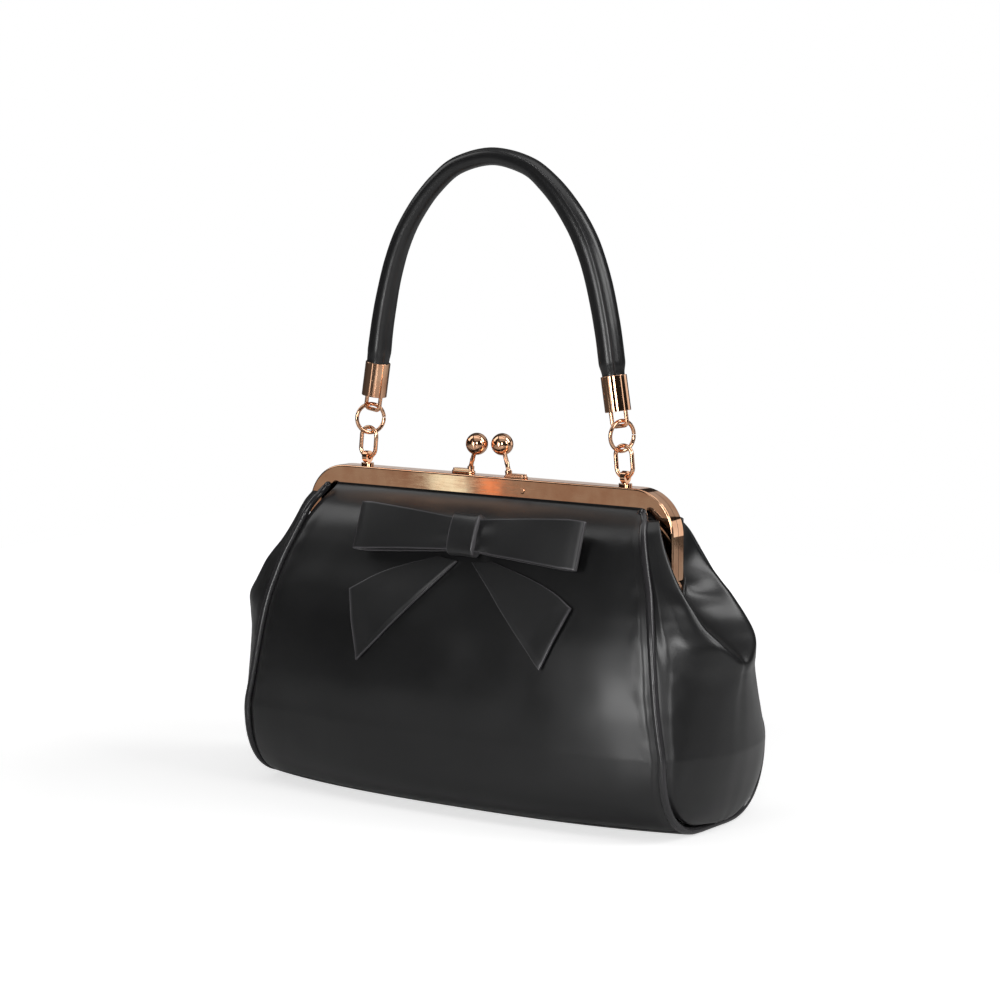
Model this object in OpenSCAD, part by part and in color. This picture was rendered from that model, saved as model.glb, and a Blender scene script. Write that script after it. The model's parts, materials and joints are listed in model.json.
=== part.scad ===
// Handbag: leather body in a folding metal frame, ball clasp, chained handle, bow.
// Millimetres, +Z up, front towards -Y. The origin is on the base, below the frame's mid-plane.

/* [Frame] */
// Half the width of the frame across its legs
frame_half_w = 119.4; // [115:0.1:123]
// Height of the frame's top face
frame_top = 177; // [174:0.5:181]
// Height of the top face above the hinge pins
frame_rise = 51.1; // [48:0.1:54]
// Outer radius of the frame's rounded corners
corner_r = 24.1; // [22:0.1:26]
// Height of the tall band
band_h = 9.7; // [8.6:0.1:10.5]
// Width of the channel in the legs and corners
channel_w = 4.8; // [4.4:0.1:5.2]
// Width of the outer wall beside the rounded corners, before it narrows to the channel
web_w = 8.5; // [7:0.1:9.5]
// Inner radius of that wall where it leaves the tall band
web_r = 12; // [10:0.5:13]
// Depth of one frame half
half_depth = 5.45; // [5.3:0.05:5.8]
// Gap between the two closed halves
mid_gap = 0.3; // [0.2:0.05:0.4]
// Sheet thickness of the frame channel
channel_wall = 0.9; // [0.8:0.05:1]
// Thickness of a hinge lug
lug_t = 1.2; // [1:0.1:1.4]
// Radius of a hinge lug
lug_r = 3.6; // [3.3:0.1:3.9]
// Distance from a lug's rim to the leg above it
lug_room = 0.5; // [0.4:0.1:0.8]
// Radius of a hinge pin
pin_r = 1.5; // [1.3:0.1:1.7]
// Radial running fit of a hinge pin
pin_fit = 0.05; // [0.03:0.01:0.08]
// Radius of a hinge pin's head
pin_head_r = 2.6; // [2.3:0.1:2.9]
// Thickness of a hinge pin's head
pin_head_t = 0.8; // [0.6:0.1:1]
// Radius of the cord that wedges the leather in the channel
cord_r = 0.8; // [0.7:0.05:0.85]

/* [Clasp] */
// Radius of a clasp ball
ball_r = 6; // [5.6:0.1:6.1]
// Distance of a ball's centre from the middle, across the bag
ball_x = 6.2; // [6.15:0.05:6.5]
// Distance of a ball's centre past the frame's mid-plane
ball_y = 3; // [2.5:0.1:3.5]
// Height of a ball's centre above the frame's top
ball_rise = 16.9; // [15:0.1:18]
// Radius of a ball's stem
stem_r = 1.2; // [1.1:0.05:1.4]
// Radius of the collar at the stem's root
collar_r = 1.9; // [1.7:0.1:2.2]
// Height of the collar at the stem's root
collar_h = 1.4; // [1:0.1:1.8]
// Distance of a foot plate's inner end from the middle
foot_in = 12; // [11.5:0.1:13]
// Length of a foot plate
foot_l = 14.5; // [13.5:0.1:15.5]
// Width of a foot plate
foot_w = 4.8; // [4.4:0.1:5]
// Thickness of each of a foot plate's two steps
foot_step = 1.2; // [1:0.1:1.4]
// How far the upper step stays inside the lower one
foot_inset = 0.6; // [0.4:0.1:0.8]
// Radius of a foot rivet's head
rivet_head_r = 1.35; // [1.2:0.05:1.5]
// Thickness of a foot rivet's head
rivet_head_t = 0.4; // [0.3:0.05:0.6]
// Radius of a foot rivet's shank
rivet_r = 0.7; // [0.6:0.05:0.8]
// Radial clearance of a foot rivet's shank
rivet_fit = 0.05; // [0.03:0.01:0.08]
// Distance of a foot rivet from the middle
rivet_x = 25.2; // [22:0.1:26]
// Height of a foot rivet below the frame's top
rivet_drop = 6.1; // [5.5:0.1:6.5]

/* [Handle chain] */
// Distance of a post from the end of the tall band
post_in = 10.5; // [9.5:0.1:12]
// Height of a post's eye above the frame's top
eye_rise = 4.5; // [4.4:0.05:4.8]
// Outer radius of a post's eye
eye_r = 3.3; // [3.1:0.05:3.4]
// Radius of the hole in a post's eye
eye_hole_r = 1.7; // [1.6:0.05:1.8]
// Thickness of a post's eye
eye_t = 3; // [2.6:0.1:3.2]
// Radius of a post's neck
neck_r = 1.5; // [1.3:0.1:1.6]
// Radius of the ends of a post's flange
flange_r = 2.6; // [2.4:0.05:2.65]
// Length of a post's flange along the band
flange_l = 7.4; // [6.6:0.1:8]
// Thickness of a post's flange
flange_t = 1.2; // [1:0.05:1.3]
// Outer width of an oval link
link_w = 12.3; // [12:0.1:13]
// Outer height of an oval link
link_h = 18.8; // [18:0.1:20]
// Radius of a link's wire
link_wire_r = 1.15; // [1.1:0.05:1.2]
// Inward lean of a link in degrees
link_lean = 5.5; // [4:0.5:6]
// Outer radius of a ring
ring_r = 9; // [8.8:0.1:9.4]
// Radius of a ring's wire
ring_wire_r = 1.05; // [1:0.05:1.1]
// How much nearer to the middle a ring's centre is than its post
ring_in = 2.2; // [1.8:0.1:2.5]
// Turn of the left ring about the vertical in degrees
left_ring_turn = 58; // [56:1:75]
// Turn of the right ring about the vertical in degrees
right_ring_turn = 72; // [60:1:85]
// Turn taken by the split in a ring in degrees
ring_split = 3; // [2:0.5:5]
// Clearance between the wires of the chain
chain_gap = 0.7; // [0.6:0.05:0.9]
// How much nearer to the middle a bail's bar is than its ring's centre
bail_in = 1.3; // [0.6:0.1:1.6]
// Half the distance between a bail's legs
bail_half = 4.6; // [4.5:0.1:4.8]
// Radius of a bail's wire
bail_wire_r = 1.1; // [1:0.05:1.15]
// Bend radius of a bail's wire
bail_bend = 2.2; // [2:0.1:2.6]
// Drop of a bail's bar below its ferrule
bail_drop = 7.7; // [7.2:0.1:8.2]

/* [Handle] */
// Inward lean of a ferrule in degrees
ferrule_lean = 9.1; // [8:0.1:10]
// Outer radius of a ferrule
ferrule_r = 6.9; // [6.8:0.05:7.2]
// Length of a ferrule
ferrule_l = 18.8; // [17:0.1:20]
// Wall of a ferrule
ferrule_wall = 0.5; // [0.4:0.05:0.55]
// Thickness of a ferrule's bottom
ferrule_floor = 1.2; // [1:0.1:1.5]
// Distance of the handle's end above the ferrule's floor
handle_seat = 3; // [2.5:0.1:4]
// Radius of the handle inside its ferrules
handle_r = 6.1; // [5.8:0.05:6.15]
// Radius of the left limb above its ferrule
left_limb_r = 6.8; // [6.4:0.05:6.9]
// Radius of the right limb above its ferrule
right_limb_r = 7.2; // [6.8:0.05:7.4]
// Radius of the handle at its apex
handle_apex_r = 4.9; // [4.6:0.1:5.2]
// Wall of the handle's leather cover
cover_wall = 1.8; // [1.6:0.1:2]
// Gap between the handle's core and its cover
core_gap = 0.2; // [0.15:0.05:0.3]
// Height of the handle's apex above the ferrules' floors
handle_rise = 131.8; // [125:0.5:140]

/* [Leather body] */
// How far the end seams stand out beyond the frame's legs
seam_out = 16.5; // [14:0.1:19]
// Reach of the end seam in front of the frame's mid-plane
front_reach = 41.3; // [39:0.1:44]
// Reach of the end seam behind the frame's mid-plane
rear_reach = 58.8; // [56:0.1:62]
// Front edge of the flat part of the base
flat_front = 4.2; // [2:0.1:6]
// Rear edge of the flat part of the base
flat_rear = 21.6; // [19:0.1:24]
// Height at which the base curve runs into the walls
base_rise = 43.7; // [41:0.1:46]
// Forward swell of the front panel's middle
front_crown = 11; // [9:0.5:12]
// Backward swell of the rear panel's middle
rear_crown = 10; // [8:0.5:12]
// Thickness of the leather
leather_t = 1.4; // [1.2:0.05:1.5]
// Radius of the welt
welt_r = 2.2; // [2:0.05:2.3]
// Gap between pieces sewn together
sewn_gap = 0.3; // [0.25:0.05:0.35]
// Height of the seam between the front panel and the base panel
base_seam_z = 4.4; // [3.8:0.1:6]
// Distance from the hinge pins down to where the leather starts to swing with the frame
flex_drop = 4.9; // [4.6:0.1:6]
// Outward reach of the gusset's lip beyond the end seam
lip_reach = 29; // [26:0.5:31]
// Height of the gusset's lowest fold
lip_z = 92; // [90:0.5:94]
// How far below the tall band the welts end
welt_drop = 2.7; // [2.4:0.1:3.4]
// Depth of the leather's edge inside the frame's channel
edge_depth = 7; // [6:0.1:7.5]
// How far the panel's top edge runs past the tall band into the corner
corner_reach = 5; // [4:0.1:5.2]
// Distance of the leather from the frame's legs
leg_gap = 0.7; // [0.5:0.05:0.9]

/* [Lining and board] */
// Thickness of the lining
lining_t = 0.6; // [0.5:0.05:0.7]
// Gap between the leather and the lining
lining_gap = 0.5; // [0.4:0.05:0.6]
// Thickness of the base board
board_t = 2; // [1.6:0.1:2.4]
// How much shorter the base board is than the base at each end
board_in = 19.9; // [16:0.1:26]
// Width of the base board
board_w = 44; // [40:0.5:46]
// Corner radius of the base board
board_corner = 8; // [6:0.5:10]

/* [Bow] */
// Distance of the bow's knot from the middle
bow_x = 7.5; // [0:0.5:10]
// Height of the bow's knot
bow_z = 147; // [144:0.5:149]
// Backward tilt of the bow in degrees
bow_tilt = 20; // [18:0.5:24]
// Half the length of the bow
bow_half = 72; // [66:0.5:76]
// Height of a loop at its outer end
loop_h = 26; // [23:0.5:28]
// Depth of a loop
loop_d = 7.5; // [6.5:0.1:8.5]
// Thickness of the bow's leather
bow_t = 1.4; // [1.2:0.05:1.6]
// Half the width of the knot
knot_half = 8.5; // [8:0.1:9.5]
// Half the height of the knot
knot_half_h = 11.5; // [10.5:0.1:12]
// Half the thickness of the knot
knot_half_d = 5; // [4.5:0.1:5.4]
// Gap between the bow and the panel
bow_gap = 0.4; // [0.3:0.05:0.6]
// Length of a tail's inner edge
tail_l = 70; // [64:0.5:74]
// How much further down the left tail hangs than the right one
left_tail_drop = 9; // [4:0.5:12]

/* [Hidden] */
fine = 64;
fine_small = 40;
overrun = 1;
tiny = 0.01;

hinge_z = frame_top - frame_rise;
flex_z = hinge_z - flex_drop;
band_half = frame_half_w - corner_r;
seam_half_w = frame_half_w + seam_out;
board_half_l = seam_half_w - board_in;
half_in = mid_gap / 2;
half_out = half_in + half_depth;
half_mid = half_in + half_depth / 2;
band_low = frame_top - band_h;
corner_z = frame_top - corner_r;
leg_low = hinge_z + lug_r + lug_room;
leg_in_x = frame_half_w - channel_w;
groove_out = half_out - channel_wall;
groove_in = half_in + channel_wall;
lug_step = mid_gap + lug_t;

post_x = band_half - post_in;
ring_x = post_x - ring_in;
bail_x = ring_x - bail_in;
eye_z = frame_top + eye_rise;
chain_y = half_mid;
link_bar_r = link_w / 2 - link_wire_r;
link_top_l = link_h - 2 * link_wire_r;
link_top_z = eye_z + link_top_l * cos(link_lean);
ring_bar_r = ring_r - ring_wire_r;
ring_z = link_top_z - link_wire_r - ring_wire_r - chain_gap + ring_bar_r;
bail_z = ring_z + ring_bar_r - ring_wire_r - bail_wire_r - chain_gap;
ferrule_x = bail_x - bail_drop * sin(ferrule_lean);
ferrule_z = bail_z + bail_drop * cos(ferrule_lean);

metal = [0.86, 0.62, 0.47];
leather = [0.19, 0.19, 0.2];
leather_edge = [0.13, 0.13, 0.14];
fabric = [0.3, 0.28, 0.27];
board_grey = [0.45, 0.42, 0.38];

// Shares of the seam's run, from the base curve up to the frame
seam_z_shares = [0.247, 0.384, 0.548, 0.636, 0.712, 0.791, 0.877, 0.91, 0.952];
seam_x_shares = [1, 0.966, 0.932, 0.907, 0.881, 0.842, 0.801, 0.782, 0.758];
seam_front_shares = [1, 0.971, 0.893, 0.806, 0.702, 0.588, 0.44, 0.303, 0.109];
seam_rear_shares = [1, 0.925, 0.808, 0.714, 0.612, 0.503, 0.364, 0.23, 0.077];
// Share of the full swell at each of those heights
crown_shares = [1, 1, 0.78, 0.62, 0.5, 0.43, 0.4, 0.34, -0.08];
// Roundness of the base's curve at the end seams and in the middle, and of the swell across
base_curve_power = 2.37;
middle_curve_power = 4;
swell_power = 2.6;

// Value at v of a smooth curve through the rows [place, value] of t
function row_of(t, v, i = 0) = i >= len(t) - 2 || v < t[i + 1][0] ? i : row_of(t, v, i + 1);
function rise_of(t, i) =
    let(a = max(0, i - 1), b = min(len(t) - 1, i + 1))
    (t[b][1] - t[a][1]) / (t[b][0] - t[a][0]);
function smooth_at(t, v) =
    let(i = row_of(t, v), h = t[i + 1][0] - t[i][0], s = (v - t[i][0]) / h)
    let(s2 = s * s, s3 = s2 * s)
    t[i][1] * (2 * s3 - 3 * s2 + 1) + h * rise_of(t, i) * (s3 - 2 * s2 + s)
    + t[i + 1][1] * (3 * s2 - 2 * s3) + h * rise_of(t, i + 1) * (s3 - s2);

// Point at t of a smooth curve through the points p
function bend(p, t) =
    let(n = len(p), i = min(floor(t), n - 2), s = t - i)
    let(a = p[i], b = p[i + 1])
    let(ma = i == 0 ? b - a : (b - p[i - 1]) / 2, mb = i == n - 2 ? b - a : (p[i + 2] - a) / 2)
    let(s2 = s * s, s3 = s2 * s)
    a * (2 * s3 - 3 * s2 + 1) + ma * (s3 - 2 * s2 + s) + b * (3 * s2 - 2 * s3) + mb * (s3 - s2);

function table(keys, key_size, values, value_size) =
    [for (i = [0 : len(keys) - 1]) [keys[i] * key_size, values[i] * value_size]];
seam_x_rows = table(seam_z_shares, frame_top, seam_x_shares, seam_half_w);
front_rows = table(seam_z_shares, frame_top, seam_front_shares, front_reach);
rear_rows = table(seam_z_shares, frame_top, seam_rear_shares, rear_reach);
crown_rows = table(seam_z_shares, frame_top, crown_shares, 1);

// Share of the base curve's reach at height z when its lowest line lies at low
function base_curve(z, low, power) =
    z >= base_rise ? 1
    : pow(1 - pow((base_rise - max(z, low)) / (base_rise - low), power), 1 / power);
function seam_x(z) = z <= base_rise ? seam_half_w : smooth_at(seam_x_rows, z);
function crown(z) = z <= base_rise ? 1 : smooth_at(crown_rows, z);
function swell(u) = abs(u) >= 1 ? 0 : 1 - pow(abs(u), swell_power);

// Signed depth of the body's wall: side -1 is the front, 1 is the rear
function flat_y(side) = side < 0 ? -flat_front : flat_rear;
function reach(side) = side < 0 ? front_reach : rear_reach;
function wall_rows(side) = side < 0 ? front_rows : rear_rows;
function wall_crown(side) = side < 0 ? front_crown : rear_crown;
function wall_y(side, z, low, u, inset = 0) =
    let(full = z <= base_rise ? reach(side) : smooth_at(wall_rows(side), z))
    let(from = flat_y(side), span = full - side * from)
    let(swollen = span + wall_crown(side) * crown(z) * swell(u) - inset)
    from + side * swollen * base_curve(z, low, mix(base_curve_power, middle_curve_power, swell(u)));

function unit(v) = v / norm(v);
// Unit normal of the grid g at row i, column j
function normal_at(g, i, j) =
    let(n = len(g) - 1, m = len(g[0]) - 1)
    let(along = g[min(i + 1, n)][j] - g[max(i - 1, 0)][j])
    let(across = g[i][min(j + 1, m)] - g[i][max(j - 1, 0)])
    unit(cross(across, along));
function shifted(g, d) =
    [for (i = [0 : len(g) - 1]) [for (j = [0 : len(g[0]) - 1]) g[i][j] + d * normal_at(g, i, j)]];

// Faces of a grid of n rows and m columns whose first point is number s
function grid_faces(n, m, s, flip) =
    [for (i = [0 : n - 2], j = [0 : m - 2], half = [0, 1])
        let(a = s + i * m + j, b = a + 1, c = a + m + 1, d = a + m)
        let(face = half == 0 ? [a, b, c] : [a, c, d])
        flip ? [face[2], face[1], face[0]] : face];
// Faces that join the rim of the outer grid to the rim of the inner one
function rim(n, m) = concat(
    [for (j = [0 : m - 2]) j],
    [for (i = [0 : n - 2]) i * m + m - 1],
    [for (j = [m - 1 : -1 : 1]) (n - 1) * m + j],
    [for (i = [n - 1 : -1 : 1]) i * m]
);
function rim_faces(n, m) =
    let(r = rim(n, m), k = len(r), s = n * m)
    [for (i = [0 : k - 1], half = [0, 1])
        let(a = r[i], b = r[(i + 1) % k])
        half == 0 ? [a, b, b + s] : [a, b + s, a + s]];

// Sheet of thickness t about the grid g of mid-surface points
module sheet(g, t) {
    n = len(g);
    m = len(g[0]);
    outer = shifted(g, t / 2);
    inner = shifted(g, -t / 2);
    points = concat([for (row = outer) each row], [for (row = inner) each row]);
    faces = concat(grid_faces(n, m, 0, true), grid_faces(n, m, n * m, false), rim_faces(n, m));
    polyhedron(points = points, faces = faces, convexity = 8);
}

// Tube along the path p with half-widths ra and rb, the first one towards side
module tube(p, ra, rb, side, sides) {
    n = len(p);
    ring = [for (i = [0 : n - 1])
        let(along = unit(p[min(i + 1, n - 1)] - p[max(i - 1, 0)]))
        let(b = unit(cross(along, side)), a = cross(b, along))
        for (k = [0 : sides - 1])
            let(angle = 360 * k / sides)
            p[i] + ra[i] * cos(angle) * a + rb[i] * sin(angle) * b];
    walls = [for (i = [0 : n - 2], k = [0 : sides - 1], half = [0, 1])
        let(next = (k + 1) % sides, a = i * sides + k, b = i * sides + next)
        half == 0 ? [b + sides, b, a] : [a + sides, b + sides, a]];
    start = [for (k = [1 : sides - 2]) [k, k + 1, 0]];
    last = (n - 1) * sides;
    end = [for (k = [1 : sides - 2]) [last + k + 1, last + k, last]];
    polyhedron(points = ring, faces = concat(walls, start, end), convexity = 8);
}

function same(v, n) = [for (i = [1 : n]) v];

// Round bar from a to b
module bar(a, b, r) {
    d = b - a;
    turn = atan2(d[1], d[0]);
    tip = acos(d[2] / norm(d));
    translate(a)
    rotate([0, tip, turn])
    cylinder(h = norm(d), r = r, $fn = fine_small);
}

module ball(r) {
    sphere(r = r, $fn = fine);
}

// Frame half at the front, without its lugs
module frame_channel() {
    difference() {
        translate([-band_half, -half_out, band_low])
        cube([2 * band_half, half_depth, band_h]);
        translate([-band_half - overrun, -groove_out, band_low - overrun])
        cube([2 * (band_half + overrun), groove_out - groove_in, band_h - channel_wall + overrun]);
        translate([rivet_x, -half_out - overrun, frame_top - rivet_drop])
        rotate([-90, 0, 0])
        cylinder(h = channel_wall + 2 * overrun, r = rivet_r + rivet_fit, $fn = fine_small);
    }
    for (side = [-1, 1])
        mirror([side < 0 ? 1 : 0, 0, 0])
        frame_side();
}

// Outer wall of a leg: wide at the rounded corner, narrowing down to the channel
module frame_web() {
    web_x = frame_half_w - web_w;
    rim_in = channel_wall / 2;
    arc_x = web_x - web_r;
    arc_z = band_low - web_r;
    start_x = band_half - channel_wall;
    translate([0, -groove_out, 0])
    rotate([90, 0, 0])
    linear_extrude(channel_wall) {
        difference() {
            intersection() {
                translate([band_half, corner_z])
                circle(r = corner_r - rim_in, $fn = fine);
                translate([start_x, corner_z])
                square([corner_r, corner_r]);
            }
            translate([arc_x, arc_z])
            circle(r = web_r, $fn = fine);
            translate([start_x - overrun, corner_z - overrun])
            square([arc_x - start_x + overrun, band_low - corner_z + overrun]);
            translate([arc_x - tiny, corner_z - overrun])
            square([web_r + tiny, arc_z - corner_z + overrun]);
        }
        polygon([[web_x, corner_z], [leg_in_x, leg_low], [frame_half_w - rim_in, leg_low],
            [frame_half_w - rim_in, corner_z + tiny], [web_x, corner_z + tiny]]);
    }
}

module frame_side() {
    frame_web();
    translate([band_half, 0, corner_z])
    rotate([90, 0, 0])
    rotate_extrude(angle = 90, $fn = fine)
    difference() {
        translate([corner_r - channel_w, half_in])
        square([channel_w, half_depth]);
        translate([corner_r - channel_w - overrun, groove_in])
        square([channel_w - channel_wall + overrun, groove_out - groove_in]);
    }
    difference() {
        translate([leg_in_x, -half_out, leg_low])
        cube([channel_w, half_depth, corner_z - leg_low]);
        translate([leg_in_x - overrun, -groove_out, leg_low + channel_wall])
        cube([channel_w - channel_wall + overrun, groove_out - groove_in, corner_z - leg_low]);
    }
}

// Lug from the foot of a front leg to the hinge pin, in the lane that ends at x
module lug(x) {
    translate([x - lug_t, 0, 0])
    difference() {
        union() {
            translate([0, 0, hinge_z])
            rotate([0, 90, 0])
            cylinder(h = lug_t, r = lug_r, $fn = fine);
            translate([0, -half_out, hinge_z])
            cube([lug_t, half_out - half_in, leg_low - hinge_z + tiny]);
        }
        translate([-overrun, 0, hinge_z])
        rotate([0, 90, 0])
        cylinder(h = lug_t + 2 * overrun, r = pin_r + pin_fit, $fn = fine);
    }
}

module front_frame() {
    color(metal) {
        frame_channel();
        lug(frame_half_w);
        mirror([1, 0, 0])
        lug(frame_half_w);
    }
}

module rear_frame() {
    color(metal)
    rotate([0, 0, 180]) {
        frame_channel();
        lug(frame_half_w - lug_step);
        mirror([1, 0, 0])
        lug(frame_half_w - lug_step);
    }
}

module hinge_pin() {
    low = frame_half_w - 2 * lug_t - 2 * mid_gap;
    high = frame_half_w + mid_gap;
    color(metal)
    translate([low, 0, hinge_z])
    rotate([0, 90, 0]) {
        cylinder(h = high - low, r = pin_r, $fn = fine);
        translate([0, 0, -pin_head_t])
        cylinder(h = pin_head_t, r = pin_head_r, $fn = fine);
        translate([0, 0, high - low])
        cylinder(h = pin_head_t, r = pin_head_r, $fn = fine);
    }
}

module right_hinge_pin() {
    hinge_pin();
}

module left_hinge_pin() {
    mirror([1, 0, 0])
    hinge_pin();
}

// Gap between the edge cord and the channel's wall
cord_gap = 0.1;

// Cord that wedges the leather in the front channel
module edge_cord() {
    color(leather_edge)
    translate([-band_half + overrun, -groove_in - cord_r - cord_gap, band_low + edge_depth / 2])
    rotate([0, 90, 0])
    cylinder(h = 2 * (band_half - overrun), r = cord_r, $fn = fine_small);
}

module front_edge_cord() {
    edge_cord();
}

module rear_edge_cord() {
    mirror([0, 1, 0])
    edge_cord();
}

// Foot plate of the ball that belongs to the front half
module foot_outline(inset) {
    r = foot_w / 2 - inset;
    reach_in = foot_in + foot_w / 2;
    reach_out = foot_in + foot_l - foot_w / 2;
    translate([reach_in, -half_mid - r])
    square([reach_out - reach_in, 2 * r]);
    for (x = [reach_in, reach_out])
        translate([x, -half_mid])
        circle(r = r, $fn = fine_small);
}

module clasp_foot() {
    color(metal)
    translate([0, 0, frame_top]) {
        linear_extrude(foot_step)
        foot_outline(0);
        translate([0, 0, foot_step])
        linear_extrude(foot_step)
        foot_outline(foot_inset);
    }
}

module front_clasp_foot() {
    clasp_foot();
}

module rear_clasp_foot() {
    rotate([0, 0, 180])
    clasp_foot();
}

// Height of a stem's bend above its plate, in ball radii, and its share of the way to the ball
crank_share = 0.85;
crank_in_share = 0.25;
// Size of the bead at a bend, in stem radii
bead_share = 1.12;

// Ball, cranked stem and collar of the front half
module clasp_ball() {
    root = [foot_in + foot_w / 2, -half_mid, frame_top + 2 * foot_step];
    collar_top = root + [0, 0, collar_h];
    centre = [ball_x, ball_y, frame_top + ball_rise];
    crank = [mix(root[0], ball_x, crank_in_share), mix(root[1], ball_y, crank_in_share),
        root[2] + ball_r * crank_share];
    into_ball = unit(centre - crank) * ball_r / 2;
    color(metal) {
        translate(root)
        cylinder(h = collar_h, r = collar_r, $fn = fine_small);
        bar(collar_top, crank, stem_r);
        for (bead = [collar_top, crank])
            translate(bead)
            ball(stem_r * bead_share);
        bar(crank, centre - into_ball, stem_r);
        translate(centre)
        ball(ball_r);
    }
}

module front_ball() {
    clasp_ball();
}

module rear_ball() {
    rotate([0, 0, 180])
    clasp_ball();
}

// Rivet through the band below the front foot plate
module foot_rivet() {
    color(metal)
    translate([rivet_x, -half_out - rivet_head_t, frame_top - rivet_drop])
    rotate([-90, 0, 0]) {
        cylinder(h = rivet_head_t, r = rivet_head_r, $fn = fine_small);
        cylinder(h = rivet_head_t + channel_wall, r = rivet_r, $fn = fine_small);
    }
}

module front_foot_rivet() {
    foot_rivet();
}

module rear_foot_rivet() {
    rotate([0, 0, 180])
    foot_rivet();
}

flange_run = flange_l / 2 - flange_r;
module post() {
    color(metal)
    translate([post_x, chain_y, frame_top]) {
        linear_extrude(flange_t) {
            square([2 * flange_run, 2 * flange_r], center = true);
            for (x = [-flange_run, flange_run])
                translate([x, 0])
                circle(r = flange_r, $fn = fine_small);
        }
        difference() {
            union() {
                cylinder(h = eye_rise, r = neck_r, $fn = fine_small);
                translate([-eye_t / 2, 0, eye_rise])
                rotate([0, 90, 0])
                cylinder(h = eye_t, r = eye_r, $fn = fine);
            }
            translate([-eye_t, 0, eye_rise])
            rotate([0, 90, 0])
            cylinder(h = 2 * eye_t, r = eye_hole_r, $fn = fine);
        }
    }
}

module right_post() {
    post();
}

module left_post() {
    mirror([1, 0, 0])
    post();
}

// Half turn of wire in the X-Z plane, open side down
module wire_arc(r, wire_r, turn) {
    rotate([90, 0, 0])
    rotate_extrude(angle = turn, $fn = fine)
    translate([r, 0])
    circle(r = wire_r, $fn = fine_small);
}

module link() {
    straight = link_h - link_w;
    color(metal)
    translate([post_x, chain_y, eye_z])
    rotate([0, -link_lean, 0]) {
        translate([0, 0, link_bar_r])
        rotate([0, 180, 0])
        wire_arc(link_bar_r, link_wire_r, 180);
        translate([0, 0, link_bar_r + straight])
        wire_arc(link_bar_r, link_wire_r, 180);
        for (x = [-link_bar_r, link_bar_r])
            translate([x, 0, link_bar_r])
            cylinder(h = straight, r = link_wire_r, $fn = fine_small);
    }
}

module right_link() {
    link();
}

module left_link() {
    mirror([1, 0, 0])
    link();
}

// Split ring whose plane faces the front, turned about the vertical
module ring(x, turn) {
    color(metal)
    translate([x, chain_y, ring_z])
    rotate([0, 0, turn])
    rotate([0, -ring_split, 0])
    wire_arc(ring_bar_r, ring_wire_r, 360 - ring_split);
}

module right_ring() {
    ring(ring_x, right_ring_turn);
}

module left_ring() {
    ring(-ring_x, left_ring_turn);
}

// Everything on the right ferrule's own axis, from its floor up
module at_ferrule() {
    translate([ferrule_x, chain_y, ferrule_z])
    rotate([0, -ferrule_lean, 0])
    children();
}

module bail() {
    leg = bail_drop + ferrule_floor - bail_bend;
    color(metal)
    at_ferrule() {
        translate([0, 0, -bail_drop])
        for (side = [-1, 1])
            mirror([side < 0 ? 1 : 0, 0, 0]) {
                translate([-tiny, 0, 0])
                rotate([0, 90, 0])
                cylinder(h = bail_half - bail_bend + tiny, r = bail_wire_r, $fn = fine_small);
                translate([bail_half - bail_bend, 0, bail_bend])
                rotate([0, 90, 0])
                wire_arc(bail_bend, bail_wire_r, 90);
                translate([bail_half, 0, bail_bend])
                cylinder(h = leg + ferrule_floor, r = bail_wire_r, $fn = fine_small);
            }
    }
}

module right_bail() {
    bail();
}

module left_bail() {
    mirror([1, 0, 0])
    bail();
}

module ferrule() {
    color(metal)
    at_ferrule()
    difference() {
        cylinder(h = ferrule_l, r = ferrule_r, $fn = fine);
        translate([0, 0, ferrule_floor])
        cylinder(h = ferrule_l, r = ferrule_r - ferrule_wall, $fn = fine);
        for (x = [-bail_half, bail_half])
            translate([x, 0, -overrun])
            cylinder(h = ferrule_floor + 2 * overrun, r = bail_wire_r + rivet_fit, $fn = fine_small);
    }
}

module right_ferrule() {
    ferrule();
}

module left_ferrule() {
    mirror([1, 0, 0])
    ferrule();
}

// Right half of the handle's centre line, as shares of its width and rise
handle_x_shares = [0.915, 0.84, 0.742, 0.608, 0.45, 0.275, 0];
handle_z_shares = [0.329, 0.519, 0.671, 0.795, 0.895, 0.965, 1];
ferrule_way = [-sin(ferrule_lean), 0, cos(ferrule_lean)];
handle_foot = [ferrule_x, chain_y, ferrule_z] + (ferrule_floor + handle_seat) * ferrule_way;
handle_neck = [ferrule_x, chain_y, ferrule_z] + (ferrule_l + overrun) * ferrule_way;
handle_right = concat(
    [handle_foot, (handle_foot + handle_neck) / 2, handle_neck],
    [for (i = [0 : len(handle_x_shares) - 1])
        [handle_x_shares[i] * ferrule_x, chain_y, ferrule_z + handle_z_shares[i] * handle_rise]]
);
handle_points = concat(
    handle_right,
    [for (i = [len(handle_right) - 2 : -1 : 0])
        [-handle_right[i][0], chain_y, handle_right[i][2]]]
);
handle_steps = 2;
handle_stations = handle_steps * (len(handle_points) - 1);
handle_path = [for (i = [0 : handle_stations]) bend(handle_points, i / handle_steps)];
// How late each limb thins on its way up to the apex
left_thin_power = 1;
right_thin_power = 4;
// Radius of the cover at a point of the path, from the limb and how high it stands
function limb_r(p) =
    let(rise = p[2] - handle_neck[2], s = max(0, rise / (ferrule_z + handle_rise - handle_neck[2])))
    rise < tiny ? handle_r
    : p[0] < 0 ? mix(left_limb_r, handle_apex_r, pow(s, left_thin_power))
    : mix(right_limb_r, handle_apex_r, pow(s, right_thin_power));
limb_radii = [for (p = handle_path) limb_r(p)];
bore_radii = [for (p = handle_path) limb_r(p) - cover_wall];
core_radii = [for (p = handle_path) limb_r(p) - cover_wall - core_gap];

module handle_cover() {
    color(leather)
    difference() {
        tube(handle_path, limb_radii, limb_radii, [0, 1, 0], 16);
        tube(long_path(handle_path), bore_radii, bore_radii, [0, 1, 0], 10);
    }
}

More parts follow.
